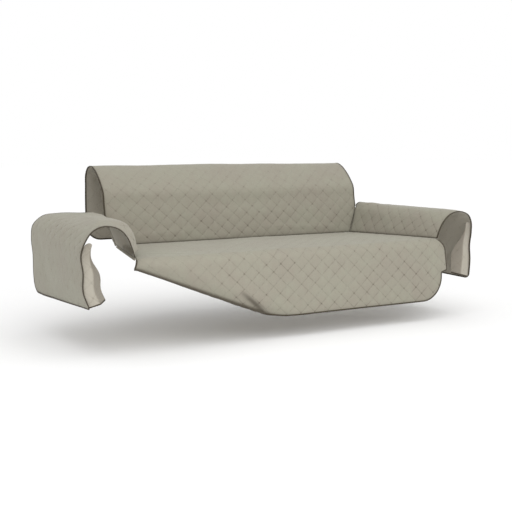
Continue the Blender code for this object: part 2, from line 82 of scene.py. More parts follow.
@dataclass(frozen=True)
class ClothSizes:
    """Thicknesses and quilting of the cloth, and its binding, in metres."""

    half: float = 0.0015  # half the thickness along a stitch line
    edge_half: float = 0.0011  # the same inside the binding
    edge_run: float = 0.004  # beside the binding, over which the cloth swells out to its thickness
    puff: float = 0.0030  # height of a diamond's middle on the outer side
    back_puff: float = 0.0010  # the same on the reverse
    wide: float = 0.082  # diamond, corner to corner across a panel
    long: float = 0.073  # diamond, corner to corner along a panel
    uneven: float = 0.12  # share by which one diamond is flatter than the next
    steep: float = 0.62  # below 1 the diamonds are fuller, with narrower stitch lines
    cells: int = 12  # mesh steps from corner to corner
    fade: float = 0.016  # the quilting flattens this near an edge
    tape_wide: float = 0.008
    tape_half: float = 0.00225
    tape_inner: float = 0.0014  # half the gap between the binding's two lips
    inset: float = 0.0085  # from the finished edge to the solids' cloth
    tuck: float = 0.0030  # from the finished edge to the cloth inside the binding
    seam_gap: float = -0.0003  # below nought the cloths press into each other
    groove: float = 0.0016  # how far the cloth is drawn in along a seam
    groove_wide: float = 0.006
    seam_hold: float = 0.045  # a seam keeps the cloth from swelling this near to it


@dataclass(frozen=True)
class CoverSizes:
    """Driving sizes of the worn cover, in metres and degrees."""

    back_half: float = 0.8025  # half the back's width
    back_widen: float = 0.004  # above its arm seams the back reaches its width over this
    rear_corner: float = 0.080  # radius of the rear flap's corners
    rear_hem_z: float = -0.400
    crease_half: float = 0.745  # half the seat's width where it meets the back
    crease_y: float = -0.225
    crease_z: float = -0.402
    front_half: float = 0.883  # half the seat's width at the front
    front_ease: float = 0.022  # the left arm's seam ends this much further out
    seat_crown: float = 0.013
    seat_edge_radius: float = 0.050
    flap_y: float = -0.875  # the front flap
    flap_half: float = 0.894
    flap_hem_z: float = -0.732
    flap_corner: float = 0.120
    wing_half: float = 0.930  # the flap's wings, round the seat's front corners
    wing_end_z: float = -0.572
    wing_step: float = 0.008
    wing_shoulder: float = 0.066
    arm_front_y: float = -0.845
    arm_front_z: float = -0.395
    arm_hem_z: float = -0.624
    arm_swell: float = 0.010  # rise of the arm's top between front and back
    arm_corner: float = 0.042
    arm_notch: float = 0.012  # the arm's rear edge starts this far past the back's seam
    back_seat_turn: float = 81.0  # angles between the cloths at a seam
    seat_arm_turn: float = 66.0
    arm_back_turn: float = 78.0
    floor_z: float = -0.842


CLOTH = ClothSizes()
COVER = CoverSizes()
ARC_STEP = math.radians(5)  # from point to point on an arc
CURVE_STEPS = 96  # samples between two points of a curve's table
DRAPE_STEP = 5e-4  # step with which a draped surface's slope is taken
SMALL = 1e-9  # what counts as nought
NEAR = 0.4  # share of a mesh step within which an edge replaces a grid line
ROW_DIGITS = 7  # decimals to which rows are the same
ROW_SLACK = 1e-4  # share of an edge by which a row may miss its end
SCORE_SLACK = 2e-4  # a point this near to a cut is part of it
SHARP_ANGLE = math.radians(62)  # from this angle on an edge is shaded sharply
SHUFFLE = (12.9898, 78.233)  # factors without a common period, for unlike diamonds
RELIEF = 0.9  # how strongly a finish's relief shows
WHITE = (1.0, 1.0, 1.0, 1.0)


# ---- Ways from one value to another ----

def smooth(x: Array) -> Array:
    """Smooth step from 0 to 1: 3x^2 - 2x^3 of x held between 0 and 1."""
    x = np.clip(x, 0, 1)
    return x * x * (3 - 2 * x)


def bell(distance: Array, wide: float) -> Array:
    """Bell curve, 1 at the middle: e to the power of -(distance / width)^2."""
    return np.exp(-(distance / wide) ** 2)


class Fade(NamedTuple):
    """A smooth way from a low value up to 1."""

    low: float
    start: float
    run: float

    def at(self, x: Array) -> Array:
        """Value: low + (1 - low) times the smooth step of (x - start) / run."""
        return self.low + (1 - self.low) * smooth((x - self.start) / self.run)


class Hump(NamedTuple):
    """A smooth step up from a start over its rise, and down again from an end over its fall."""

    start: float
    rise: float
    end: float
    fall: float

    def at(self, x: Array) -> Array:
        """Value: the smooth step of (x - start) / rise, times 1 less that of (x - end) / fall."""
        return smooth((x - self.start) / self.rise) * (1 - smooth((x - self.end) / self.fall))


class Shade(NamedTuple):
    """Painted shade beside a line: a sharp part close to it, and a soft part that reaches on."""

    sharp: float = 0.0
    wide: float = 1.0
    soft: float = 0.0
    reach: float = 1.0

    def at(self, distance: Array) -> Array:
        """Painted shade: sharp times a bell curve of the distance, plus soft times e^(-distance / reach)."""
        return self.sharp * bell(distance, self.wide) + self.soft * np.exp(-distance / self.reach)


# ---- Sections ----

class ProfilePoint(NamedTuple):
    """A point of the back's section."""

    name: str
    y: float
    z: float


class ArmPoint(NamedTuple):
    """A point of the arm's sections, at the front and at the back of the seat."""

    name: str
    front_x: float
    front_z: float
    rear_x: float
    rear_z: float


class ArmEdge(NamedTuple):
    """A corner of the arm cover's rear edge: the section's point that it lies at, how far past it, and its
    y and radius."""

    name: str
    section: int
    past: float
    y: float
    radius: float


BACK_PROFILE = [
    ProfilePoint("crease", COVER.crease_y, COVER.crease_z),
    ProfilePoint("arm seam top", -0.202, -0.257),
    ProfilePoint("groove", -0.188, -0.190),
    ProfilePoint("above groove", -0.176, -0.130),
    ProfilePoint("shoulder", -0.147, -0.090),
    ProfilePoint("rise", -0.101, -0.045),
    ProfilePoint("near ridge", -0.058, -0.016),
    ProfilePoint("ridge", -0.005, 0.0015),
    ProfilePoint("past ridge", 0.040, -0.009),
    ProfilePoint("rear shoulder", 0.068, -0.040),
    ProfilePoint("rear face", 0.076, -0.110),
    ProfilePoint("rear hem", 0.080, COVER.rear_hem_z),
]
BACK_SEAM_TOP, RIDGE = 1, 7
ARM_PROFILE = [
    ArmPoint("seat seam", COVER.front_half, COVER.arm_front_z, COVER.crease_half, COVER.crease_z),
    ArmPoint("inner side", 0.906, -0.345, 0.774, -0.329),
    ArmPoint("inner shoulder", 0.935, -0.302, COVER.back_half, -0.257),
    ArmPoint("top, inner", 0.973, -0.267, 0.850, -0.236),
    ArmPoint("top", 1.022, -0.248, 0.925, -0.231),
    ArmPoint("top, outer", 1.072, -0.249, 1.010, -0.233),
    ArmPoint("outer shoulder", 1.114, -0.272, 1.080, -0.254),
    ArmPoint("side of the roll", 1.138, -0.312, 1.124, -0.292),
    ArmPoint("below the roll", 1.143, -0.368, 1.142, -0.350),
    ArmPoint("middle of the flap", 1.135, -0.447, 1.144, -0.440),
    ArmPoint("low on the flap", 1.130, -0.535, 1.141, -0.535),
    ArmPoint("hem", 1.124, COVER.arm_hem_z, 1.134, COVER.arm_hem_z),
]
SEAM_TOP, ROLL_SIDE, HEM = 2, 7, len(ARM_PROFILE) - 1
ARM_REAR_EDGE = [
    ArmEdge("top of the back's seam", SEAM_TOP, COVER.arm_notch, -0.195, 0.0),
    ArmEdge("beside the back", 3, 0.040, -0.187, 0.012),
    ArmEdge("over the roll", 5, 0.0, -0.122, 0.040),
    ArmEdge("side of the roll", ROLL_SIDE, 0.0, -0.090, 0.060),
    ArmEdge("hem", HEM, -CLOTH.inset, -0.086, COVER.arm_corner),
]


class Ease(NamedTuple):
    """How far a point of one arm's sections lies from the shared table, x outwards."""

    section: int
    front_x: float = 0.0
    front_z: float = 0.0
    rear_x: float = 0.0
    rear_z: float = 0.0


@dataclass(frozen=True)
class ArmShape:
    """What differs between the two arms, in metres or as a share."""

    front_corner: float  # radius of the outer flap's front corner
    flare: float  # how far the flap's front stands out
    slack: float  # share by which the quilting is flatter on the flap
    roll: float  # the inner side's bulge behind the front edge
    crease_share: float  # depth of its creases beside the table's
    eases: tuple[Ease, ...]


ARM_SHAPES = {
    Side.LEFT: ArmShape(
        front_corner=0.012, flare=0.018, slack=0.72, roll=0.036, crease_share=1.0,
        eases=(
            Ease(0, front_x=COVER.front_ease), Ease(1, front_x=0.017),
            Ease(2, front_x=0.008, front_z=0.001), Ease(4, rear_z=-0.004),
            Ease(5, rear_x=0.008, rear_z=-0.001), Ease(6, rear_x=0.016, rear_z=0.010),
            Ease(7, rear_x=0.018, rear_z=0.004), Ease(8, front_x=0.008, rear_x=0.009),
            Ease(9, front_x=0.003), Ease(10, front_x=0.011),
            Ease(HEM, front_x=-0.009, front_z=0.011, rear_z=-0.009),
        )),
    Side.RIGHT: ArmShape(
        front_corner=0.026, flare=0.0, slack=0.35, roll=0.0, crease_share=0.8,
        eases=(
            Ease(3, front_z=-0.004, rear_x=-0.026, rear_z=-0.001), Ease(4, front_z=-0.007, rear_z=-0.017),
            Ease(5, front_z=-0.007, rear_z=-0.016), Ease(6, front_z=-0.003, rear_z=-0.006),
            Ease(7, front_x=-0.004), Ease(8, front_x=-0.007),
            Ease(9, front_x=-0.009), Ease(10, front_x=0.001),
            Ease(HEM, front_x=0.001, front_z=-0.010),
        )),
}


class Swell(NamedTuple):
    """A long soft wave of the worn cloth: its height, its lengths along u and v, and its phase."""

    height: float
    long_u: float
    long_v: float
    phase: float


@dataclass(frozen=True)
class Crease:
    """A soft trough, or a ridge if its rise is positive, along a line in the flat. With a reach it is a
    fold's edge: the cloth steps up beside the line and settles again."""

    name: str
    start: Flat
    end: Flat
    rise: float
    wide: float
    reach: float = 0.0
    dark: float = 0.8  # painted shade at a fold's edge
    dark_at: float = 0.3  # where the painted shade is darkest, in widths beside the line
    left_out: float = 0.15  # share of a sine's half turn missing at either end

    def measure(self, u: Array, v: Array) -> tuple[Array, Array]:
        """Distance to the side of the line, and strength along it: a sine that fades beyond its ends.

        Args:
            u, v: flat places.

        Returns:
            The distance, positive to the line's right, and the strength.
        """
        start, end = np.array(self.start), np.array(self.end)
        run = np.linalg.norm(end - start)
        along = (end - start) / run
        ahead = (u - start[0]) * along[0] + (v - start[1]) * along[1]
        share = np.clip(ahead / run, 0, 1)
        turn = np.pi * (self.left_out + (1 - 2 * self.left_out) * share)
        strength = np.sin(turn) * bell(ahead - share * run, self.wide)
        return (u - start[0]) * along[1] - (v - start[1]) * along[0], strength

    def height(self, u: Array, v: Array) -> Array:
        """Rise times the strength times a bell curve of the distance, or a step that settles again.

        Args:
            u, v: flat places.

        Returns:
            Heights to add, in metres.
        """
        off, strength = self.measure(u, v)
        if self.reach:
            return self.rise * strength * smooth(off / self.wide) * np.exp(-np.maximum(off, 0) / self.reach)
        return self.rise * strength * bell(off, self.wide)

    def press(self, u: Array, v: Array) -> Array:
        """Painted shade in the crease: at a fold's edge its darkness times a bell curve, else none.

        Args:
            u, v: flat places.

        Returns:
            Painted shade from 0 to 1.
        """
        if not self.reach:
            return np.zeros(np.broadcast(u, v).shape)
        off, strength = self.measure(u, v)
        return self.dark * strength * bell(off - self.dark_at * self.wide, self.wide)


def seam_inset(turn: float) -> float:
    """Space that a panel leaves at a seam: half thickness x tan(half turn), and the gap over its cosine."""
    half = math.radians(turn) / 2
    return CLOTH.half * math.tan(half) + CLOTH.seam_gap / math.cos(half)


# ---- Draped surfaces ----

class SmoothCurve:
    """A curve through a table's points, with a cubic Hermite piece between each two, read by distance."""

    def __init__(self, knots: Sequence[Sequence[float]] | Array) -> None:
        """Sample the curve.

        Args:
            knots: the points that it runs through.
        """
        table = np.array(knots, float)
        chord = self.lengths(table)
        slope = np.gradient(table, chord, axis=0)
        w = np.linspace(0, 1, CURVE_STEPS, endpoint=False)[None, :, None]
        span = np.diff(chord)[:, None, None]
        a, b = table[:-1, None], table[1:, None]
        sa, sb = slope[:-1, None], slope[1:, None]
        pieces = ((2 * w**3 - 3 * w**2 + 1) * a + (3 * w**2 - 2 * w**3) * b
                  + span * ((w**3 - 2 * w**2 + w) * sa + (w**3 - w**2) * sb))
        self.points = np.vstack([pieces.reshape(-1, table.shape[1]), table[-1:]])
        self.run = self.lengths(self.points)
        self.knot_runs = self.run[::CURVE_STEPS]
        self.length = float(self.run[-1])

    @staticmethod
    def lengths(points: Array) -> Array:
        """Distance along a polyline to each of its points."""
        return np.concatenate([[0], np.cumsum(np.linalg.norm(np.diff(points, axis=0), axis=1))])

    def at(self, distance: Array) -> Array:
        """Points at given distances, straight on past either end.

        Args:
            distance: distances along the curve, in metres.

        Returns:
            An array of the same shape with one more axis for the coordinates.
        """
        held = np.clip(distance, 0, self.length)
        point = np.stack([np.interp(held, self.run, column) for column in self.points.T], axis=-1)
        first = (self.points[1] - self.points[0]) / self.run[1]
        last = (self.points[-1] - self.points[-2]) / (self.run[-1] - self.run[-2])
        return (point + np.minimum(distance, 0)[..., None] * first
                + np.maximum(distance - self.length, 0)[..., None] * last)


@dataclass(kw_only=True)
class Drape:
    """A surface that takes flat places (u, v) and heights above the cloth's middle to places in space."""

    facing: int = 1  # -1 where u, v and the outward side make a left hand
    swells: tuple[Swell, ...] = ()
    creases: tuple[Crease, ...] = ()

    def middle(self, u: Array, v: Array) -> Array:
        """Places of the cloth's middle layer."""
        raise NotImplementedError

    def fullness(self, u: Array, v: Array) -> Array:
        """How fully the quilting stands up, from 0 where the cloth is stretched flat to 1."""
        raise NotImplementedError

    def outward(self, u: Array, v: Array) -> Array:
        """Unit vectors out of the cloth: the cross product of the two central differences, set to length 1.

        Args:
            u, v: flat places.

        Returns:
            One vector for each place.
        """
        across = self.middle(u + DRAPE_STEP, v) - self.middle(u - DRAPE_STEP, v)
        along = self.middle(u, v + DRAPE_STEP) - self.middle(u, v - DRAPE_STEP)
        normal = np.cross(across, along)
        return self.facing * normal / np.linalg.norm(normal, axis=-1, keepdims=True)

    def relief(self, u: Array, v: Array) -> Array:
        """Soft unevenness of the worn cloth: a sum of long sine waves and the creases.

        Args:
            u, v: flat places.

        Returns:
            Heights to add, in metres.
        """
        rise = np.zeros(np.broadcast(u, v).shape)
        for swell in self.swells:
            turns = u / swell.long_u + v / swell.long_v
            rise += swell.height * np.sin(2 * np.pi * turns + swell.phase)
        return rise + sum(crease.height(u, v) for crease in self.creases)

    def press(self, u: Array, v: Array) -> Array:
        """Painted shade in its sharp creases, from 0 to 1."""
        return sum((crease.press(u, v) for crease in self.creases), np.zeros(np.broadcast(u, v).shape))

    def place(self, u: Array, v: Array, height: Array) -> Array:
        """Places in space: the middle layer plus the height along the outward vector."""
        return self.middle(u, v) + self.outward(u, v) * np.asarray(height)[..., None]


@dataclass(kw_only=True)
class BackDrape(Drape):
    """Back panel: u across, v up from the crease, over the ridge and down behind."""

    swells: tuple[Swell, ...] = (Swell(0.0011, 0.93, 2.1, 0.4), Swell(0.0008, -0.51, 0.83, 1.9),
                                 Swell(0.0006, 0.31, -0.47, 3.1))
    left_full: Fade = Fade(0.55, -0.80, 0.40)
    ridge_slack: float = 0.90  # share by which the quilting is flatter there
    ridge_slack_at: float = -0.05  # where it is flattest, from the ridge
    ridge_slack_wide: float = 0.22
    crest: float = -0.02  # where the cloth stands fullest, from the ridge

    def __post_init__(self) -> None:
        """Set up the section and the creases, of which the last lies along the ridge."""
        self.curve = SmoothCurve([(p.y, p.z) for p in BACK_PROFILE])
        self.seam_top = float(self.curve.knot_runs[BACK_SEAM_TOP])
        self.ridge = float(self.curve.knot_runs[RIDGE])
        crest = self.ridge + self.crest
        self.creases = (
            Crease("pull over the left shoulder", (-0.77, 0.30), (-0.55, 0.44), 0.0035, 0.022),
            Crease("pull over the right shoulder", (0.78, 0.28), (0.60, 0.45), 0.0030, 0.022),
            Crease("sag in the middle", (-0.25, 0.19), (0.28, 0.205), -0.0022, 0.030),
            Crease("low fold, left", (-0.70, 0.045), (-0.30, 0.055), 0.0022, 0.016),
            Crease("low fold, right", (0.12, 0.06), (0.66, 0.04), 0.0024, 0.017),
            Crease("fullness of the ridge", (-0.80, crest), (0.80, crest), 0.0055, 0.075),
        )

    def fullness(self, u: Array, v: Array) -> Array:
        """Least over the ridge, by a bell curve of the distance from it, and less at the left."""
        over = self.ridge_slack * bell(v - self.ridge - self.ridge_slack_at, self.ridge_slack_wide)
        return (1 - over) * self.left_full.at(u)

    def middle(self, u: Array, v: Array) -> Array:
        """Places of the middle layer: (u, y(v), z(v)) on the section."""
        section = self.curve.at(v)
        return np.stack([np.broadcast_to(u, v.shape), section[..., 0], section[..., 1]], axis=-1)


@dataclass(kw_only=True)
class SeatDrape(Drape):
    """Seat panel: u across, v forward from the crease, round the front edge and down the flap, with the cloth
    turned under beyond a slanting line."""

    facing: int = -1
    swells: tuple[Swell, ...] = (Swell(0.0013, 1.17, 1.9, 0.9), Swell(0.0009, -0.62, 0.77, 2.2),
                                 Swell(0.0006, 0.37, 0.41, 0.3))
    left_full: Fade = Fade(0.08, -0.79, 0.52)
    flap_full: Fade = Fade(0.40, -0.03, 0.16)  # from the start of the front edge
    # painted shade along the turned corner's fold
    fold_shade: Shade = Shade(0.75, 0.008, 0.24, 0.020)
    corner_start: Flat = (-0.917, -0.438)  # x and z of the fold's ends
    corner_end: Flat = (-0.240, -0.701)
    corner_radius: float = 0.006
    curl: float = 0.016  # how far the fold's edge leans back
    curl_reach: float = 0.034
    crown_power: int = 6  # how flat the seat's crown is from side to side
    wing_lean: float = 0.20  # slope at which the right wing leans back
    wing_start: float = 0.004  # it starts this far inside the flap's edge
    wing_down: Fade = Fade(0.0, -0.02, 0.05)  # from the end of the front edge

    def __post_init__(self) -> None:
        """Work out where the seat turns down, and the fold's line in the flat."""
        radius = COVER.seat_edge_radius
        run = COVER.crease_y - COVER.arm_front_y
        self.edge_start = COVER.crease_y - (COVER.flap_y + radius)
        self.edge_end = self.edge_start + radius * math.pi / 2
        self.edge_z = COVER.crease_z + (COVER.arm_front_z - COVER.crease_z) * self.edge_start / run
        self.arm_seam_end = self.edge_start + radius * math.asin((run - self.edge_start) / radius)
        hem = self.flap_v
        self.fold_start = np.array([self.corner_start[0], hem(self.corner_start[1])])
        along = np.array([self.corner_end[0], hem(self.corner_end[1])]) - self.fold_start
        along /= np.linalg.norm(along)
        self.fold_out = np.array([-along[1], along[0]])
        self.bend = math.pi * self.corner_radius
        self.creases = (
            Crease("edge of the turned hem", (-0.366, hem(-0.598)), (-0.240, hem(-0.700)),
                   0.0080, 0.011, reach=0.050),
            Crease("slack above the fold", (-0.800, hem(-0.455)), (-0.480, hem(-0.575)), -0.0030, 0.026),
            Crease("hollow of the seat, left", (-0.52, 0.22), (-0.18, 0.30), -0.0040, 0.110),
            Crease("hollow of the seat, right", (0.20, 0.32), (0.56, 0.25), -0.0040, 0.110),
            Crease("pull from the right arm", (0.80, 0.50), (0.60, 0.57), 0.0030, 0.020),
            Crease("pull from the left arm", (-0.80, 0.48), (-0.62, 0.57), 0.0026, 0.020),
            Crease("lift of the hem", (0.10, hem(-0.725)), (0.42, hem(-0.725)), -0.0040, 0.060),
        )

    def flap_v(self, z: float) -> float:
        """Flat distance from the crease of a height on the front flap."""
        return self.edge_end + self.edge_z - COVER.seat_edge_radius - z

    def half(self, v: Array) -> Array:
        """Half the seat's width between its seams with the arms."""
        return COVER.crease_half + (COVER.front_half - COVER.crease_half) * v / self.arm_seam_end

    def fold_distance(self, u: Array, v: Array) -> tuple[Array, Array]:
        """Flat distance past the fold's line, and distance from the fold once it is turned."""
        past = (u - self.fold_start[0]) * self.fold_out[0] + (v - self.fold_start[1]) * self.fold_out[1]
        return past, np.maximum(-past, 0) + np.maximum(past - self.bend, 0)

    def relief(self, u: Array, v: Array) -> Array:
        """Unevenness as for any cloth, dying out where the corner is turned."""
        past = self.fold_distance(u, v)[0]
        return super().relief(u, v) * np.exp(-np.maximum(past, 0) / self.bend)

    def fullness(self, u: Array, v: Array) -> Array:
        """Less on top and at the left, where the cloth lies flat, and full on the rest of the flap."""
        return self.flap_full.at(v - self.edge_start) * self.left_full.at(u)

    def press(self, u: Array, v: Array) -> Array:
        """Painted shade in the creases and along the fold, by its shade at the distance from it."""
        return super().press(u, v) + self.fold_shade.at(self.fold_distance(u, v)[1])

    def middle(self, u: Array, v: Array) -> Array:
        """Places of the middle layer before the corner is turned: a crown, a sine along v times 1 less a
        power of u / half, then a quarter circle down, then straight down, the right side leaning back.

        Args:
            u, v: flat places.

        Returns:
            Places in space.
        """
        radius = COVER.seat_edge_radius
        on_top = np.clip(v, 0, self.edge_start)
        crown = COVER.seat_crown * np.sin(np.pi * on_top / self.edge_start)
        crown = crown * (1 - np.minimum(np.abs(u) / self.half(on_top), 1) ** self.crown_power)
        turn = np.clip((v - self.edge_start) / radius, 0, np.pi / 2)
        below = np.maximum(v - self.edge_end, 0)
        y = COVER.crease_y - np.minimum(v, self.edge_start) - radius * np.sin(turn)
        side = np.maximum(u - COVER.flap_half + self.wing_start, 0)
        y = y + self.wing_lean * side * self.wing_down.at(v - self.edge_end)
        slope = (self.edge_z - COVER.crease_z) / self.edge_start
        z = COVER.crease_z + slope * on_top + crown - radius * (1 - np.cos(turn)) - below
        return np.stack([np.broadcast_to(u, z.shape), y, z], axis=-1)

    def place(self, u: Array, v: Array, height: Array) -> Array:
        """Places in space with the corner turned: up to half a turn about the fold at the cloth's own length,
        and beyond it the same surface mirrored behind.

        Args:
            u, v: flat places.
            height: heights above the middle layer.

        Returns:
            Places in space.
        """
        past, distance = self.fold_distance(u, v)
        back = np.where(past < self.bend, np.maximum(past, 0), 2 * past - self.bend)
        foot_u, foot_v = u - self.fold_out[0] * back, v - self.fold_out[1] * back
        turn = (np.clip(past, 0, self.bend) / self.corner_radius)[..., None]
        outward = self.outward(foot_u, foot_v)
        du, dv = self.fold_out * DRAPE_STEP
        ahead = self.middle(foot_u + du, foot_v + dv) - self.middle(foot_u - du, foot_v - dv)
        ahead /= np.linalg.norm(ahead, axis=-1, keepdims=True)
        height = np.asarray(height)[..., None]
        lean = (self.curl * bell(distance, self.curl_reach))[..., None]
        middle = self.middle(foot_u, foot_v) + ahead * self.corner_radius * np.sin(turn)
        middle -= outward * (lean + self.corner_radius * (1 - np.cos(turn)))
        return middle + (outward * np.cos(turn) + ahead * np.sin(turn)) * height


@dataclass(kw_only=True)
class ArmDrape(Drape):
    """Arm panel: u from the seat seam over the roll to the outer hem, v the y coordinate. A section at the
    front blends into a section at the back of the seat."""

    side: Side
    swells: tuple[Swell, ...] = (Swell(0.0012, 0.61, 0.9, 0.2), Swell(0.0008, -0.37, 0.52, 1.4),
                                 Swell(0.0005, 0.19, -0.33, 2.6))
    top_slack: float = 0.70  # share by which the quilting is flatter there
    top_slack_at: float = 0.26
    top_slack_wide: float = 0.13
    flap_slack: Fade = Fade(0.0, 0.40, 0.15)
    roll_along: Hump = Hump(0.0, 0.09, 0.09, 0.50)  # the bulge, from the front edge
    roll_inner: Hump = Hump(0.0, 0.05, 0.22, 0.12)  # as shares of the way round the roll
    roll_top: Hump = Hump(0.06, 0.10, 0.34, 0.12)
    roll_lift: float = 0.45  # rise of the bulge beside its depth
    flare_start: float = 0.45  # the flap's flare, as shares of the way round
    flare_full: float = 0.75
    flare_reach: float = 1.5

    def __post_init__(self) -> None:
        """Set up the two sections and the creases."""
        self.facing = self.side.value
        self.shape = ARM_SHAPES[self.side]
        table = np.array([p[1:] for p in ARM_PROFILE])
        for ease in self.shape.eases:
            table[ease.section] += ease[1:]
        self.front = SmoothCurve(table[:, :2])
        self.rear = SmoothCurve(table[:, 2:])
        self.width = (self.front.length + self.rear.length) / 2
        deep = self.shape.crease_share
        self.creases = (
            Crease("pull at the back's seam", (0.16, -0.25), (0.30, -0.40), 0.0040 * deep, 0.018),
            Crease("second pull", (0.20, -0.23), (0.38, -0.33), -0.0030 * deep, 0.020),
            Crease("fold under the roll", (0.43, -0.76), (0.455, -0.30), -0.0034 * deep, 0.028),
            Crease("slack of the flap", (0.60, -0.80), (0.70, -0.45), 0.0042 * deep, 0.045),
            Crease("slack of the flap, rear", (0.52, -0.20), (0.70, -0.33), -0.0036 * deep, 0.050),
        )

    def fullness(self, u: Array, v: Array) -> Array:
        """Least over the roll, by a bell curve of the distance from its top, and less on the outer flap."""
        over = self.top_slack * bell(u - self.top_slack_at, self.top_slack_wide)
        return 1 - over - self.shape.slack * self.flap_slack.at(u)

    def u_of(self, curve: SmoothCurve, distance: float) -> float:
        """Flat u of a distance along one of the two sections."""
        return distance / curve.length * self.width

    def bulge(self, share: Array, v: Array) -> tuple[Array, Array]:
        """How far the inner side bulges out and up: a hump along the arm times humps round the roll."""
        out = self.shape.roll * self.roll_along.at(v - COVER.arm_front_y)
        return out * self.roll_inner.at(share), self.roll_lift * out * self.roll_top.at(share)

    def middle(self, u: Array, v: Array) -> Array:
        """Places of the middle layer: the blend of the two sections, plus a swell, the bulge and the flare of
        the outer flap, which fade along the arm.

        Args:
            u, v: flat places.

        Returns:
            Places in space.
        """
        share = u / self.width
        back = np.clip((v - COVER.arm_front_y) / (COVER.crease_y - COVER.arm_front_y), 0, 1)[..., None]
        section = self.front.at(share * self.front.length) * (1 - back)
        section = section + self.rear.at(share * self.rear.length) * back
        along = np.clip((v - COVER.arm_front_y) / -COVER.arm_front_y, 0, 1)
        swell = COVER.arm_swell * np.sin(np.pi * np.clip(share, 0, 1)) ** 2 * np.sin(np.pi * np.sqrt(along))
        outer = smooth((share - self.flare_start) / (self.flare_full - self.flare_start))
        flare = self.shape.flare * outer * (1 - along) * (self.flare_reach - share)
        out, rise = self.bulge(share, v)
        x = self.side.value * (section[..., 0] + flare - out)
        return np.stack([x, np.broadcast_to(v, x.shape), section[..., 1] + swell + rise], axis=-1)


@dataclass(kw_only=True)
class ReturnDrape(Drape):
    """The strip turned in at the front of an outer flap: u down the flap, v level inwards. It faces the
    front and then bends back in an arc."""

    arm: ArmDrape
    top: float  # flat u at which the strip starts
    full: float = 0.5  # how fully its quilting stands up
    radius: float = 0.012  # the bend's arc
    turn: float = math.radians(42)
    front_top: float = 0.029  # width of the part that faces the front, at the top and at the hem
    front_hem: float = 0.054
    long: float = 0.30  # it widens over this length
    loose: float = 0.006  # how far its top hangs away from the flap
    loose_run: float = 0.14
    gap: float = 0.0003  # between the strip and the flap's edge

    def __post_init__(self) -> None:
        """Hang the strip on the arm's flap."""
        self.facing = -self.arm.facing
        self.edge_y = COVER.arm_front_y + CLOTH.inset + CLOTH.half + self.gap

    def fullness(self, u: Array, v: Array) -> Array:
        """The same all over."""
        return np.full(np.broadcast(u, v).shape, self.full)

    def front_part(self, u: Array) -> Array:
        """How much of the strip's width faces the front, widening down the flap."""
        share = np.clip((u - self.top) / self.long, 0, 1)
        return self.front_top + (self.front_hem - self.front_top) * share

    def middle(self, u: Array, v: Array) -> Array:
        """Places of the middle layer: the flap's edge moved inwards by v, then round an arc, then straight
        back and inwards.

        Args:
            u, v: flat places.

        Returns:
            Places in space.
        """
        root = self.arm.middle(u, np.full(np.shape(u), self.edge_y))
        bend = self.radius * self.turn
        front = self.front_part(u)
        angle = np.clip(v - front, 0, bend) / self.radius
        beyond = np.maximum(v - front - bend, 0)
        across = np.minimum(v, front) + self.radius * np.sin(angle) + beyond * math.cos(self.turn)
        back = self.radius * (1 - np.cos(angle)) + beyond * math.sin(self.turn)
        loose = self.loose * np.maximum(0, 1 - (u - self.top) / self.loose_run)
        x = root[..., 0] - self.arm.side.value * (CLOTH.half + loose + across)
        return np.stack([x, root[..., 1] + back, root[..., 2]], axis=-1)


# ---- Flat cutting ----

class Corner(NamedTuple):
    """A corner of a flat outline, and the radius that rounds it."""

    u: float
    v: float
    radius: float = 0.0


def rounded(corners: Sequence[Corner], closed: bool = True) -> Array:
    """Polyline through corners, each round one as points on its arc: centre + radius (cos, sin).

    Args:
        corners: the corners in order.
        closed: whether the last joins the first; otherwise both ends stay plain.

    Returns:
        The points, one row each.
    """
    points: list[Array] = []
    last = len(corners) - 1
    for i, corner in enumerate(corners):
        here = np.array(corner[:2])
        if not corner.radius or (not closed and i in (0, last)):
            points.append(here[None])
            continue
        before = np.array(corners[i - 1][:2]) - here
        after = np.array(corners[(i + 1) % len(corners)][:2]) - here
        before /= np.linalg.norm(before)
        after /= np.linalg.norm(after)
        half = math.acos(float(np.clip(before @ after, -1, 1))) / 2
        middle = before + after
        centre = here + middle / np.linalg.norm(middle) * corner.radius / math.sin(half)
        first = here + before * corner.radius / math.tan(half) - centre
        final = here + after * corner.radius / math.tan(half) - centre
        sweep = math.atan2(first[0] * final[1] - first[1] * final[0], first @ final)
        angles = np.linspace(0, sweep, max(3, round(abs(sweep) / ARC_STEP) + 1))[:, None]
        side = np.array([-first[1], first[0]])
        points.append(centre + first * np.cos(angles) + side * np.sin(angles))
    return np.vstack(points)


def spans(outline: Array, rows: Array) -> tuple[Array, Array]:
    """Where each row enters and leaves an outline: the least and greatest of its crossings with the edges.

    Args:
        outline: the closed outline's points, as (column, row).
        rows: the rows' places.

    Returns:
        The two ends of each row.
    """
    a, b = outline, np.roll(outline, -1, axis=0)
    rise = (b[:, 1] - a[:, 1])[None]
    level = np.abs(rise) < SMALL
    share = (rows[:, None] - a[None, :, 1]) / np.where(level, 1, rise)
    meets = ~level & (share > -ROW_SLACK) & (share < 1 + ROW_SLACK)
    place = a[None, :, 0] + share * (b[:, 0] - a[:, 0])[None]
    return np.where(meets, place, np.inf).min(axis=1), np.where(meets, place, -np.inf).max(axis=1)


def edge_distance(points: Array, path: Array) -> Array:
    """Distance of flat points from a polyline: the least distance from its segments.

    Args:
        points: the flat points.
        path: the polyline's points.

    Returns:
        One distance for each point.
    """
    nearest = np.full(points.shape[:-1], np.inf)
    for a, b in zip(path, path[1:]):
        run = b - a
        share = np.clip((points - a) @ run / max(run @ run, SMALL), 0, 1)[..., None]
        nearest = np.minimum(nearest, np.linalg.norm(points - a - share * run, axis=-1))
    return nearest


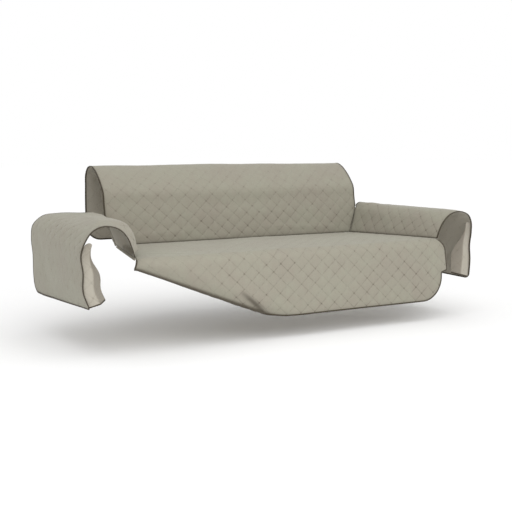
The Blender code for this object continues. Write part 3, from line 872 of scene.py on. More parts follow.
@dataclass
class Faces:
    """Polygons as whole arrays: their corners one after another, and how many corners each has."""

    corners: Array
    totals: Array

    @property
    def starts(self) -> Array:
        """Where each polygon's corners start."""
        return np.concatenate([[0], np.cumsum(self.totals)[:-1]])

    def turned(self) -> "Faces":
        """The same polygons seen from their other side: each polygon's corners in reverse order."""
        start, total = np.repeat(self.starts, self.totals), np.repeat(self.totals, self.totals)
        return Faces(self.corners[2 * start + total - 1 - np.arange(len(start))], self.totals)

    def rim(self) -> Array:
        """Directed edges that one polygon alone has, found by a key for each pair of points.

        Returns:
            One pair of points in each row.
        """
        start, total = np.repeat(self.starts, self.totals), np.repeat(self.totals, self.totals)
        here = np.arange(len(self.corners))
        after = self.corners[np.where(here + 1 < start + total, here + 1, start)]
        edges = np.stack([self.corners, after], axis=1)
        ordered = np.sort(edges, axis=1)
        keys = ordered[:, 0].astype(np.int64) * (int(self.corners.max()) + 1) + ordered[:, 1]
        _, index, count = np.unique(keys, return_index=True, return_counts=True)
        return edges[index[count == 1]]

    def shell(self, count: int) -> tuple["Faces", Array]:
        """The same polygons on two layers, with the second one turned, and walls between their rims.

        Args:
            count: how many points a layer has.

        Returns:
            The polygons, and whether each belongs to the second layer, as 0 or 1.
        """
        first, after = self.rim().T
        back = self.turned()
        back = Faces(back.corners + count, back.totals)
        walls = Faces.of(after, first, first + count, after + count)
        of_second = np.repeat([0, 1, 0], [len(self.totals), len(back.totals), len(walls.totals)])
        return Faces.joined(self, back, walls), of_second

    @staticmethod
    def joined(*parts: "Faces") -> "Faces":
        """Several sets of polygons as one."""
        return Faces(np.concatenate([p.corners for p in parts]), np.concatenate([p.totals for p in parts]))

    @staticmethod
    def of(*columns: Array) -> "Faces":
        """Polygons of one kind from their first corners, their second corners and so on."""
        rows = np.stack(columns, axis=-1).reshape(-1, len(columns))
        return Faces(rows.reshape(-1), np.full(len(rows), len(columns)))


def ring_grid(rows: int, size: int) -> tuple[Array, Array]:
    """Numbers of the points of closed rings laid one after another."""
    ident = np.arange(rows * size).reshape(rows, size)
    return ident, np.roll(ident, -1, axis=1)


def signed_area(outline: Array) -> float:
    """Area inside a closed outline, positive if it runs to the left: half the sum of u v' - u' v."""
    ahead = np.roll(outline, -1, axis=0)
    return float(np.sum(outline[:, 0] * ahead[:, 1] - outline[:, 1] * ahead[:, 0])) / 2


def trimmed_grid(outline: Array, sharp: Sequence[float], step: Flat, centre: Array) -> tuple[Array, Faces]:
    """Grid in step with the quilting, cut to an outline. Point (i, j) is column i held between the ends of
    row j, so that what lies outside shrinks to nothing and is left out.

    Args:
        outline: the closed outline's points, as (column, row).
        sharp: rows of the outline's sharp corners, which the grid must have.
        step: distance between columns and between rows.
        centre: the quilting's centre, which is a point of the grid.

    Returns:
        The flat points, as (column, row), and the polygons.
    """
    low, high = outline.min(axis=0), outline.max(axis=0)
    level = outline[np.abs(outline[:, 1] - np.roll(outline[:, 1], -1)) < SMALL, 1]
    fixed = np.unique(np.clip(np.round(np.array([low[1], high[1], *sharp, *level]), ROW_DIGITS),
                              low[1], high[1]))
    count = np.ceil((high - low) / step).astype(int) + 1
    regular = centre[1] + np.arange(-count[1], count[1] + 1) * step[1]
    clear = np.abs(regular[:, None] - fixed[None]).min(axis=1) > NEAR * step[1]
    regular = regular[clear & (regular > low[1]) & (regular < high[1])]
    rows = np.sort(np.concatenate([regular, fixed]))
    left, right = spans(outline, rows)
    index = np.arange(-count[0], count[0] + 1)
    first = np.ceil((left - centre[0]) / step[0] + NEAR).astype(int) - 1
    final = np.floor((right - centre[0]) / step[0] - NEAR).astype(int) + 1
    held = np.clip(index[None], first[:, None], final[:, None])
    column = centre[0] + held * step[0]
    column = np.where(held == first[:, None], left[:, None], column)
    column = np.where(held == final[:, None], right[:, None], column)
    points = np.stack([column, np.broadcast_to(rows[:, None], column.shape)], axis=-1)
    ident = np.arange(len(rows))[:, None] * len(index) + held + count[0]
    a, b, c, d = ident[:-1, :-1], ident[:-1, 1:], ident[1:, 1:], ident[1:, :-1]
    whole, lower, upper = (a != b) & (c != d), (a != b) & (c == d), (a == b) & (c != d)
    faces = Faces.joined(Faces.of(a[whole], b[whole], c[whole], d[whole]),
                         Faces.of(a[lower], b[lower], c[lower]), Faces.of(a[upper], c[upper], d[upper]))
    used, corners = np.unique(faces.corners, return_inverse=True)
    return points.reshape(-1, 2)[used], Faces(corners.reshape(-1), faces.totals)


def scored(points: Array, faces: Faces, lines: Sequence[tuple[Array, Array]]) -> tuple[Array, Faces]:
    """Flat cloth cut along straight lines, so that it can fold sharply there.

    Args:
        points: the flat points.
        faces: the polygons.
        lines: a point and a unit normal for each line.

    Returns:
        The points and polygons with the cuts.
    """
    mesh = fill_mesh("flat", np.column_stack([points, np.zeros(len(points))]), faces)
    bm = bmesh.new()
    bm.from_mesh(mesh)
    for place, normal in lines:
        bmesh.ops.bisect_plane(bm, geom=bm.verts[:] + bm.edges[:] + bm.faces[:], dist=SCORE_SLACK,
                               plane_co=(*place, 0), plane_no=(*normal, 0))
    bm.to_mesh(mesh)
    bm.free()
    co = np.empty(len(mesh.vertices) * 3, np.float32)
    corners = np.empty(len(mesh.loops), np.int32)
    totals = np.empty(len(mesh.polygons), np.int32)
    mesh.vertices.foreach_get("co", co)
    mesh.loops.foreach_get("vertex_index", corners)
    mesh.polygons.foreach_get("loop_total", totals)
    bpy.data.meshes.remove(mesh)
    return co.reshape(-1, 3)[:, :2].astype(float), Faces(corners, totals)


def fill_mesh(name: str, points: Array, faces: Faces) -> Mesh:
    """A mesh from whole arrays.

    Args:
        name: the mesh's name.
        points: its points in space.
        faces: its polygons.

    Returns:
        The mesh.
    """
    mesh = bpy.data.meshes.new(name)
    mesh.vertices.add(len(points))
    mesh.vertices.foreach_set("co", points.astype(np.float32).ravel())
    mesh.loops.add(len(faces.corners))
    mesh.loops.foreach_set("vertex_index", faces.corners.astype(np.int32))
    mesh.polygons.add(len(faces.totals))
    mesh.polygons.foreach_set("loop_start", faces.starts.astype(np.int32))
    mesh.update(calc_edges=True)
    mesh.validate()
    return mesh


def add_object(name: str, data: ID, turn: Place = (0.0, 0.0, 0.0), place: Place = (0.0, 0.0, 0.0)) -> Object:
    """A new object in the scene.

    Args:
        name: its name.
        data: what it shows.
        turn: its turn, in degrees.
        place: where it stands.

    Returns:
        The object.
    """
    made = bpy.data.objects.new(name, data)
    made.rotation_euler = [math.radians(angle) for angle in turn]
    made.location = place
    bpy.context.scene.collection.objects.link(made)
    return made


def add_piece(name: str, points: Array, faces: Faces, uv: Array, finishes: Sequence[Material],
              finish_of: Array | None = None, looks: dict[str, Array] | None = None) -> Object:
    """A finished piece of the cover, at the origin, riding on the cover's one body.

    Args:
        name: the piece's name.
        points: its points in space.
        faces: its polygons.
        uv: flat places of its points, in metres.
        finishes: its materials.
        finish_of: which finish each polygon has.
        looks: values of its points that the finishes read, by name.

    Returns:
        The object.
    """
    mesh = fill_mesh(name, points, faces)
    layer = mesh.uv_layers.new(name="flat")
    layer.data.foreach_set("uv", uv[faces.corners].astype(np.float32).ravel())
    for key, values in (looks or {}).items():
        carried = mesh.attributes.new(key, "FLOAT", "POINT")
        carried.data.foreach_set("value", values.astype(np.float32).ravel())
    for finish in finishes:
        mesh.materials.append(finish)
    if finish_of is not None:
        mesh.polygons.foreach_set("material_index", finish_of.astype(np.int32))
    mesh.polygons.foreach_set("use_smooth", np.ones(len(faces.totals), bool))
    mesh.set_sharp_from_angle(angle=SHARP_ANGLE)
    piece = add_object(name, mesh)
    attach(piece, "root")
    log.info("%s: %d faces", name, len(faces.totals))
    return piece


# ---- Finishes ----

def linear(red: float, green: float, blue: float) -> Colour:
    """Linear colour of a display colour from 0 to 255: ((c + 0.055) / 1.055)^2.4, or c / 12.92 when dark."""
    shares = (c / 255 for c in (red, green, blue))
    return (*(c / 12.92 if c < 0.04045 else ((c + 0.055) / 1.055) ** 2.4 for c in shares), 1.0)


class Nodes:
    """Shorthand for building a node tree."""

    def __init__(self, tree: NodeTree) -> None:
        """Work on the tree of a material or a group."""
        self.tree = tree

    def add(self, kind: str, inputs: dict[str | int, Any] | None = None, **settings: Any) -> Node:
        """A node with its settings and inputs.

        Args:
            kind: the node's type name.
            inputs: values or sockets for its inputs.
            settings: its other settings.

        Returns:
            The node.
        """
        node = self.tree.nodes.new(kind)
        for key, value in settings.items():
            setattr(node, key, value)
        for key, value in (inputs or {}).items():
            self.feed(node.inputs[key], value)
        return node

    def feed(self, socket: Socket, value: Any) -> None:
        """Link an input to the socket that feeds it, or set its plain value.

        Args:
            socket: the input.
            value: another node's socket, or a value.
        """
        if isinstance(value, Socket):
            self.tree.links.new(value, socket)
        else:
            socket.default_value = value

    def group(self, tree: NodeTree, place: Socket) -> Node:
        """A shared group, read at a place."""
        return self.add("ShaderNodeGroup", {"Place": place}, node_tree=tree)

    def carried(self, name: str) -> Socket:
        """Value that the mesh's points carry under a name."""
        return self.add("ShaderNodeAttribute", attribute_name=name).outputs["Fac"]

    def flat(self) -> Socket:
        """Place on the flat cloth."""
        return self.add("ShaderNodeUVMap", uv_map="flat").outputs[0]

    def solid(self) -> Socket:
        """Place in space."""
        return self.add("ShaderNodeTexCoord").outputs["Object"]

    def math(self, operation: str, *values: Any) -> Socket:
        """Result of one arithmetic step."""
        return self.add("ShaderNodeMath", dict(enumerate(values)), operation=operation).outputs[0]

    def shift(self, operation: str, inputs: dict[str | int, Any]) -> Socket:
        """Result of one step with vectors."""
        return self.add("ShaderNodeVectorMath", inputs, operation=operation).outputs[0]

    def total(self, *terms: tuple[Socket, float]) -> Socket:
        """Sum of values, each times its own factor.

        Args:
            terms: the values with their factors.

        Returns:
            The sum.
        """
        parts = [self.math("MULTIPLY", value, factor) for value, factor in terms]
        whole = parts[0]
        for part in parts[1:]:
            whole = self.math("ADD", whole, part)
        return whole

    def wave(self, value: Socket, period: float) -> Socket:
        """Sine of a value, with one turn to a period."""
        return self.math("SINE", self.math("MULTIPLY", value, 2 * math.pi / period))

    def span(self, value: Socket, start: float, end: float, low: float = 0.0, high: float = 1.0) -> Socket:
        """A value's smooth way from one level to another while it goes from start to end."""
        inputs = {"Value": value, "From Min": start, "From Max": end, "To Min": low, "To Max": high}
        return self.add("ShaderNodeMapRange", inputs, interpolation_type="SMOOTHSTEP").outputs[0]

    def mix(self, share: Any, first: Any, second: Any, blend: str = "MIX") -> Socket:
        """Mix of two colours.

        Args:
            share: how much of the second, from 0 to 1.
            first, second: colours or their sockets.
            blend: the way in which they mix.

        Returns:
            The mixed colour.
        """
        node = self.add("ShaderNodeMix", {"Factor": share}, data_type="RGBA", blend_type=blend)
        for name, value in (("A", first), ("B", second)):
            self.feed(next(s for s in node.inputs if s.name == name and s.type == "RGBA"), value)
        return next(s for s in node.outputs if s.type == "RGBA")

    def noise(self, place: Socket, scale: float, detail: float = 2.0, rough: float = 0.5) -> Socket:
        """Value of a noise at a place."""
        inputs = {"Vector": place, "Scale": scale, "Detail": detail, "Roughness": rough}
        return self.add("ShaderNodeTexNoise", inputs).outputs[0]


def start_group(name: str, **sizes: float) -> tuple[Nodes, Node]:
    """A shader node group with a place and some sizes as its inputs.

    Args:
        name: the group's name.
        sizes: the sizes' values at first.

    Returns:
        The shorthand for its tree, and its input node.
    """
    tree = bpy.data.node_groups.new(name, "ShaderNodeTree")
    tree.interface.new_socket(name="Place", in_out="INPUT", socket_type="NodeSocketVector")
    for key, value in sizes.items():
        socket = tree.interface.new_socket(name=key, in_out="INPUT", socket_type="NodeSocketFloat")
        socket.default_value = value
    nodes = Nodes(tree)
    return nodes, nodes.add("NodeGroupInput")


def end_group(nodes: Nodes, outputs: dict[str, Socket]) -> NodeTree:
    """Give a group its outputs, all plain values.

    Args:
        nodes: the shorthand for its tree.
        outputs: the socket that feeds each output, by name.

    Returns:
        The finished group.
    """
    for key in outputs:
        nodes.tree.interface.new_socket(name=key, in_out="OUTPUT", socket_type="NodeSocketFloat")
    nodes.add("NodeGroupOutput", outputs)
    return nodes.tree


@dataclass(frozen=True)
class Stitching:
    """The quilting's stitches, in metres. A pair is where an effect starts and where it is full, as distances
    from the line or levels of a wave."""

    wobble: float = 0.0035  # how far a line strays
    wobble_scale: float = 14.0
    stitch: float = 0.0042  # one stitch and the gap after it
    thread: Flat = (0.0011, 0.0004)
    thread_wave: Flat = (-0.5, 0.3)
    line: Flat = (0.0030, 0.0006)
    knot: Flat = (0.0060, 0.0020)
    pucker: Flat = (0.016, 0.001)
    ripple_scale: float = 120.0

    def build(self) -> NodeTree:
        """Group that finds the stitch lines. With a = u / wide + v / long and b = u / wide - v / long, the
        lines are where a or b is a whole number, and the knots where both are.

        Returns:
            The group, with outputs Line, Knot, Thread and Pucker.
        """
        nodes, source = start_group("quilting", Wide=CLOTH.wide, Long=CLOTH.long)
        stray = nodes.add("ShaderNodeTexNoise", {"Vector": source.outputs["Place"],
                                                 "Scale": self.wobble_scale, "Detail": 1.0})
        stray = nodes.shift("SUBTRACT", {0: stray.outputs["Color"], 1: (0.5, 0.5, 0.5)})
        stray = nodes.shift("SCALE", {0: stray, "Scale": self.wobble})
        place = nodes.shift("ADD", {0: source.outputs["Place"], 1: stray})
        flat = nodes.add("ShaderNodeSeparateXYZ", {0: place})
        across = nodes.math("DIVIDE", flat.outputs[0], source.outputs["Wide"])
        along = nodes.math("DIVIDE", flat.outputs[1], source.outputs["Long"])
        pitch = 1 / math.hypot(1 / CLOTH.wide, 1 / CLOTH.long)
        ways = [nodes.math(operation, across, along) for operation in ("ADD", "SUBTRACT")]
        near = []
        for way in ways:
            off = nodes.math("ABSOLUTE", nodes.math("SUBTRACT", way, nodes.math("ROUND", way)))
            near.append(nodes.math("MULTIPLY", off, pitch))
        closest = nodes.math("MINIMUM", *near)
        farthest = nodes.math("MAXIMUM", *near)
        dashes = [nodes.wave(way, self.stitch / pitch) for way in ways]
        running = nodes.mix(nodes.math("LESS_THAN", *near), *dashes)
        thread = nodes.math("MULTIPLY", nodes.span(closest, *self.thread),
                            nodes.span(running, *self.thread_wave))
        ripple = nodes.noise(place, self.ripple_scale, 1.0)
        return end_group(nodes, {
            "Line": nodes.span(closest, *self.line), "Knot": nodes.span(farthest, *self.knot),
            "Thread": thread, "Pucker": nodes.math("MULTIPLY", nodes.span(closest, *self.pucker), ripple)})


@dataclass(frozen=True)
class Nap:
    """A brushed nap: broad patches where the pile lies another way, a finer mottle, and fibres. Each is a
    noise with its scale, detail and roughness, and the first two are stretched between levels."""

    brush: Place = (1.0, 1.0, 0.45)  # the pile is drawn out downwards
    patch: Place = (4.5, 3.0, 0.55)
    patch_levels: Flat = (0.30, 0.70)
    mottle: Place = (46.0, 3.0, 0.6)
    mottle_levels: Flat = (0.25, 0.75)
    fibre: Place = (780.0, 2.0, 0.7)

    def build(self) -> NodeTree:
        """Group of the three noises.

        Returns:
            The group, with outputs Patch, Mottle and Fibre, each from 0 to 1.
        """
        nodes, source = start_group("nap")
        place = source.outputs["Place"]
        brushed = nodes.add("ShaderNodeMapping", {"Vector": place, "Scale": self.brush}).outputs[0]
        return end_group(nodes, {
            "Patch": nodes.span(nodes.noise(place, *self.patch), *self.patch_levels),
            "Mottle": nodes.span(nodes.noise(brushed, *self.mottle), *self.mottle_levels),
            "Fibre": nodes.noise(brushed, *self.fibre)})


@dataclass(frozen=True)
class Weave:
    """A plain weave, in step with the flat cloth."""

    pitch: float = 0.0012

    def build(self) -> NodeTree:
        """Group with the product of two sine waves at right angles.

        Returns:
            The group, with output Weave from 0 to 1.
        """
        nodes, source = start_group("weave", Pitch=self.pitch)
        flat = nodes.add("ShaderNodeSeparateXYZ", {0: source.outputs["Place"]})
        turns = [nodes.math("DIVIDE", flat.outputs[axis], source.outputs["Pitch"]) for axis in (0, 1)]
        product = nodes.math("MULTIPLY", *(nodes.wave(turn, 1.0) for turn in turns))
        return end_group(nodes, {"Weave": nodes.span(product, -1.0, 1.0)})


@dataclass(frozen=True)
class Groups:
    """The shader node groups that several finishes share."""

    quilting: NodeTree = field(default_factory=lambda: Stitching().build())
    nap: NodeTree = field(default_factory=lambda: Nap().build())
    weave: NodeTree = field(default_factory=lambda: Weave().build())


@dataclass(frozen=True)
class Finish:
    """A finish: a material with one Principled shader."""

    name: str

    def start(self) -> tuple[Material, Nodes]:
        """A new material with an empty tree.

        Returns:
            The material and the shorthand for its tree.
        """
        material = bpy.data.materials.new(self.name)
        material.use_nodes = True
        material.node_tree.nodes.clear()
        return material, Nodes(material.node_tree)

    @staticmethod
    def close(nodes: Nodes, inputs: dict[str, Any], height: Socket | None = None) -> None:
        """Give the tree its shader.

        Args:
            nodes: the shorthand for the tree.
            inputs: the shader's inputs.
            height: fine relief, in metres.
        """
        if height is not None:
            bump = nodes.add("ShaderNodeBump", {"Height": height, "Strength": RELIEF, "Distance": 1.0})
            inputs = {**inputs, "Normal": bump.outputs[0]}
        shader = nodes.add("ShaderNodeBsdfPrincipled", inputs)
        nodes.add("ShaderNodeOutputMaterial", {"Surface": shader.outputs[0]})


@dataclass(frozen=True)
class QuiltedFinish(Finish):
    """Brushed microfibre with quilting stitches."""

    base: Colour
    shade: Colour  # where the pile lies the other way
    stitch: Colour  # along the stitch lines
    crease: Colour  # painted shade in seams and sharp folds
    patchy: float = 0.55  # how strongly the broad patches show
    mottled: float = 0.35  # and the finer mottle
    line: float = 0.25  # how strongly the stitch lines show
    knot: float = 0.42  # and their crossings
    pressed: float = 0.85  # how strongly the painted shade shows
    worn: tuple[float, ...] = (0.25, 0.70, 0.10, 1.0)  # mottle from, to; share of the lines left there
    rubbed: tuple[float, ...] = (0.0, 1.0, 0.55, 1.25)  # patch from, to; share of the lines left there
    fibres: tuple[float, ...] = (0.2, 0.8, 0.93, 1.05)  # fibre from, to; brightness there
    weave_deep: float = 0.00010  # reliefs, in metres
    fibre_deep: float = 0.00016
    pucker_deep: float = 0.0011
    line_deep: float = 0.0008
    knot_deep: float = 0.0010
    thread_deep: float = 0.0003
    roughness: Flat = (0.83, 0.94)  # where the mottle is least and most
    specular: float = 0.18
    sheen: float = 0.25
    sheen_roughness: float = 0.45
    sheen_tint: Colour = (0.95, 0.97, 0.90, 1.0)

    def build(self, groups: Groups) -> Material:
        """Make the material.

        Args:
            groups: the shared node groups.

        Returns:
            The material.
        """
        material, nodes = self.start()
        flat = nodes.flat()
        quilt = nodes.group(groups.quilting, flat).outputs
        nap = nodes.group(groups.nap, nodes.solid()).outputs
        weave = nodes.group(groups.weave, flat).outputs
        patch = nodes.total((nap["Patch"], self.patchy), (nap["Mottle"], self.mottled))
        colour = nodes.mix(patch, self.base, self.shade)
        left = nodes.math("MULTIPLY", nodes.carried("full"), nodes.span(nap["Mottle"], *self.worn))
        left = nodes.math("MULTIPLY", left, nodes.span(nap["Patch"], *self.rubbed))
        for mask, strength in (("Line", self.line), ("Knot", self.knot)):
            share = nodes.math("MULTIPLY", quilt[mask], nodes.math("MULTIPLY", left, strength))
            colour = nodes.mix(share, colour, self.stitch)
        # painted shade: the colour mixed towards the crease colour by the shade that the points carry
        pressed = nodes.math("MULTIPLY", nodes.carried("press"), self.pressed)
        colour = nodes.mix(pressed, colour, self.crease)
        colour = nodes.mix(1.0, colour, nodes.span(nap["Fibre"], *self.fibres), "MULTIPLY")
        rough = nodes.span(nap["Mottle"], 0.0, 1.0, *self.roughness)
        height = nodes.total((weave["Weave"], self.weave_deep), (nap["Fibre"], self.fibre_deep),
                             (quilt["Pucker"], self.pucker_deep), (quilt["Line"], -self.line_deep),
                             (quilt["Knot"], -self.knot_deep), (quilt["Thread"], self.thread_deep))
        self.close(nodes, {
            "Base Color": colour, "Roughness": rough, "Specular IOR Level": self.specular,
            "Sheen Weight": self.sheen, "Sheen Roughness": self.sheen_roughness,
            "Sheen Tint": self.sheen_tint}, height)
        return material


@dataclass(frozen=True)
class TapeFinish(Finish):
    """Woven binding tape, ribbed across, with a row of stitches near its inner edge."""

    base: Colour
    rib: Colour
    stitch: Colour
    mottled: float = 0.6  # how strongly the mottle, the ribs and the stitches show
    ribbed: float = 0.35
    stitched: float = 0.7
    rib_pitch: float = 0.0016
    stitch_at: float = 0.0068  # from the finished edge
    stitch_long: float = 0.0036  # one stitch and the gap after it
    stitch_side: Flat = (0.0007, 0.0003)  # half widths at which it starts and is full
    stitch_wave: Flat = (-0.6, 0.2)  # and levels of the wave along it
    rib_deep: float = 0.00025
    stitch_deep: float = 0.0004
    fibre_deep: float = 0.0001
    roughness: Flat = (0.88, 0.75)  # between the ribs and on them
    specular: float = 0.25
    sheen: float = 0.12
    sheen_roughness: float = 0.5

    def build(self, groups: Groups) -> Material:
        """Make the material. Its UV is the run along the tape and the distance from the finished edge.

        Args:
            groups: the shared node groups.

        Returns:
            The material.
        """
        material, nodes = self.start()
        along, out = nodes.add("ShaderNodeSeparateXYZ", {0: nodes.flat()}).outputs[:2]
        nap = nodes.group(groups.nap, nodes.solid()).outputs
        rib = nodes.span(nodes.wave(along, self.rib_pitch), -1.0, 1.0)
        off = nodes.math("ABSOLUTE", nodes.math("SUBTRACT", out, self.stitch_at))
        stitch = nodes.math("MULTIPLY", nodes.span(off, *self.stitch_side),
                            nodes.span(nodes.wave(along, self.stitch_long), *self.stitch_wave))
        colour = self.base
        for mask, strength, tint in ((nap["Mottle"], self.mottled, self.rib), (rib, self.ribbed, self.rib),
                                     (stitch, self.stitched, self.stitch)):
            colour = nodes.mix(nodes.math("MULTIPLY", mask, strength), colour, tint)
        rough = nodes.span(rib, 0.0, 1.0, *self.roughness)
        height = nodes.total((rib, self.rib_deep), (stitch, self.stitch_deep),
                             (nap["Fibre"], self.fibre_deep))
        self.close(nodes, {
            "Base Color": colour, "Roughness": rough, "Specular IOR Level": self.specular,
            "Sheen Weight": self.sheen, "Sheen Roughness": self.sheen_roughness}, height)
        return material


@dataclass(frozen=True)
class FloorFinish(Finish):
    """Plain pale studio floor, very faintly uneven."""

    name: str = "studio_floor"
    light: Colour = linear(253, 253, 253)
    dark: Colour = linear(250, 250, 250)
    scale: float = 0.8
    roughness: float = 0.9
    specular: float = 0.1

    def build(self) -> Material:
        """Make the material.

        Returns:
            The material.
        """
        material, nodes = self.start()
        colour = nodes.mix(nodes.noise(nodes.solid(), self.scale), self.light, self.dark)
        self.close(nodes, {"Base Color": colour, "Roughness": self.roughness,
                           "Specular IOR Level": self.specular})
        return material


@dataclass(frozen=True)
class Finishes:
    """All finishes of the cover."""

    cloth: Material
    reverse: Material
    tape: Material

    @staticmethod
    def build() -> "Finishes":
        """Make them with their shared groups.

        Returns:
            The finishes.
        """
        groups = Groups()
        # the last colour of each cloth is its painted shade in seams and folds
        cloth = QuiltedFinish("brushed_sage_cloth", linear(154, 152, 137), linear(150, 143, 131),
                              linear(92, 84, 70), linear(58, 50, 40))
        reverse = QuiltedFinish("cream_reverse_cloth", linear(176, 171, 159), linear(170, 164, 151),
                                linear(128, 119, 104), linear(92, 82, 72), sheen=0.15)
        tape = TapeFinish("olive_binding_tape", linear(76, 69, 56), linear(60, 53, 42), linear(98, 90, 75))
        return Finishes(*(finish.build(groups) for finish in (cloth, reverse, tape)))


# ---- Sub-assemblies ----

@dataclass
class BindingTape:
    """Tape folded over a cut edge: a section of two lips and a round fold, carried along the edge."""

    name: str
    drape: Drape
    lift: Callable[[Array, Array], Array]  # the cloth's unevenness
    path: Array  # the finished edge in the flat
    finish: Material
    out: int  # 1 if the cloth lies to the left of the path, -1 if to the right
    step: float = 0.006
    short: float = 0.004  # it stops this far short of a seam at either end
    arc_points: int = 7
    lip_run: tuple[float, ...] = (-CLOTH.tape_wide, -0.0074, -0.0068, -0.0062, -0.0045)
    lip_drop: tuple[float, ...] = (0.0002, 0.0, 0.0004, 0.0, 0.0)  # thin end, groove at the stitches
    fold_in: float = 0.0002  # the fold's inner line is drawn back by this

    def section(self) -> tuple[Array, Array]:
        """The section's lines, each from one lip round the fold to the other, as distances out from the
        finished edge and heights. The outer one has a groove where the tape is stitched.

        Returns:
            The outer line and the inner line, with as many points each.
        """
        turn = np.linspace(np.pi / 2, -np.pi / 2, self.arc_points)
        drop = np.array(self.lip_drop)
        lines = []
        for half, centre, sunk in ((CLOTH.tape_half, -CLOTH.tape_half, drop),
                                   (CLOTH.tape_inner, -CLOTH.tape_half - self.fold_in, 0 * drop)):
            upper = np.stack([self.lip_run, half - sunk], axis=1)
            fold = np.stack([centre + half * np.cos(turn), half * np.sin(turn)], axis=1)
            lines.append(np.vstack([upper, fold, upper[::-1] * (1, -1)]))
        return lines[0], lines[1]

    def build(self) -> Object:
        """Carry the section along the edge: flat place = edge + normal x distance, then draped.

        Returns:
            The tape.
        """
        run = SmoothCurve.lengths(self.path)
        count = max(2, round((run[-1] - 2 * self.short) / self.step))
        along = np.linspace(self.short, run[-1] - self.short, count + 1)
        edge = np.stack([np.interp(along, run, column) for column in self.path.T], axis=1)
        tangent = np.gradient(edge, along, axis=0)
        tangent /= np.linalg.norm(tangent, axis=1, keepdims=True)
        normal = np.stack([tangent[:, 1], -tangent[:, 0]], axis=1) * self.out
        outer, inner = self.section()
        ring = np.vstack([outer, inner[::-1]])
        u, v = np.moveaxis(edge[:, None] + normal[:, None] * ring[None, :, :1], -1, 0)
        points = self.drape.place(u, v, ring[None, :, 1] + self.lift(u, v)).reshape(-1, 3)
        uv = np.stack(np.broadcast_arrays(along[:, None], -ring[None, :, 0]), axis=-1).reshape(-1, 2)
        size = len(ring)
        ident, after = ring_grid(len(edge), size)
        k = np.arange(len(outer) - 1)
        cap = np.stack([k, k + 1, size - 2 - k, size - 1 - k])
        faces = Faces.joined(Faces.of(ident[:-1], after[:-1], after[1:], ident[1:]), Faces.of(*cap[::-1]),
                             Faces.of(*(cap + ident[-1, 0])))
        if self.out * self.drape.facing > 0:
            faces = faces.turned()
        return add_piece(self.name, points, faces, uv, [self.finish])


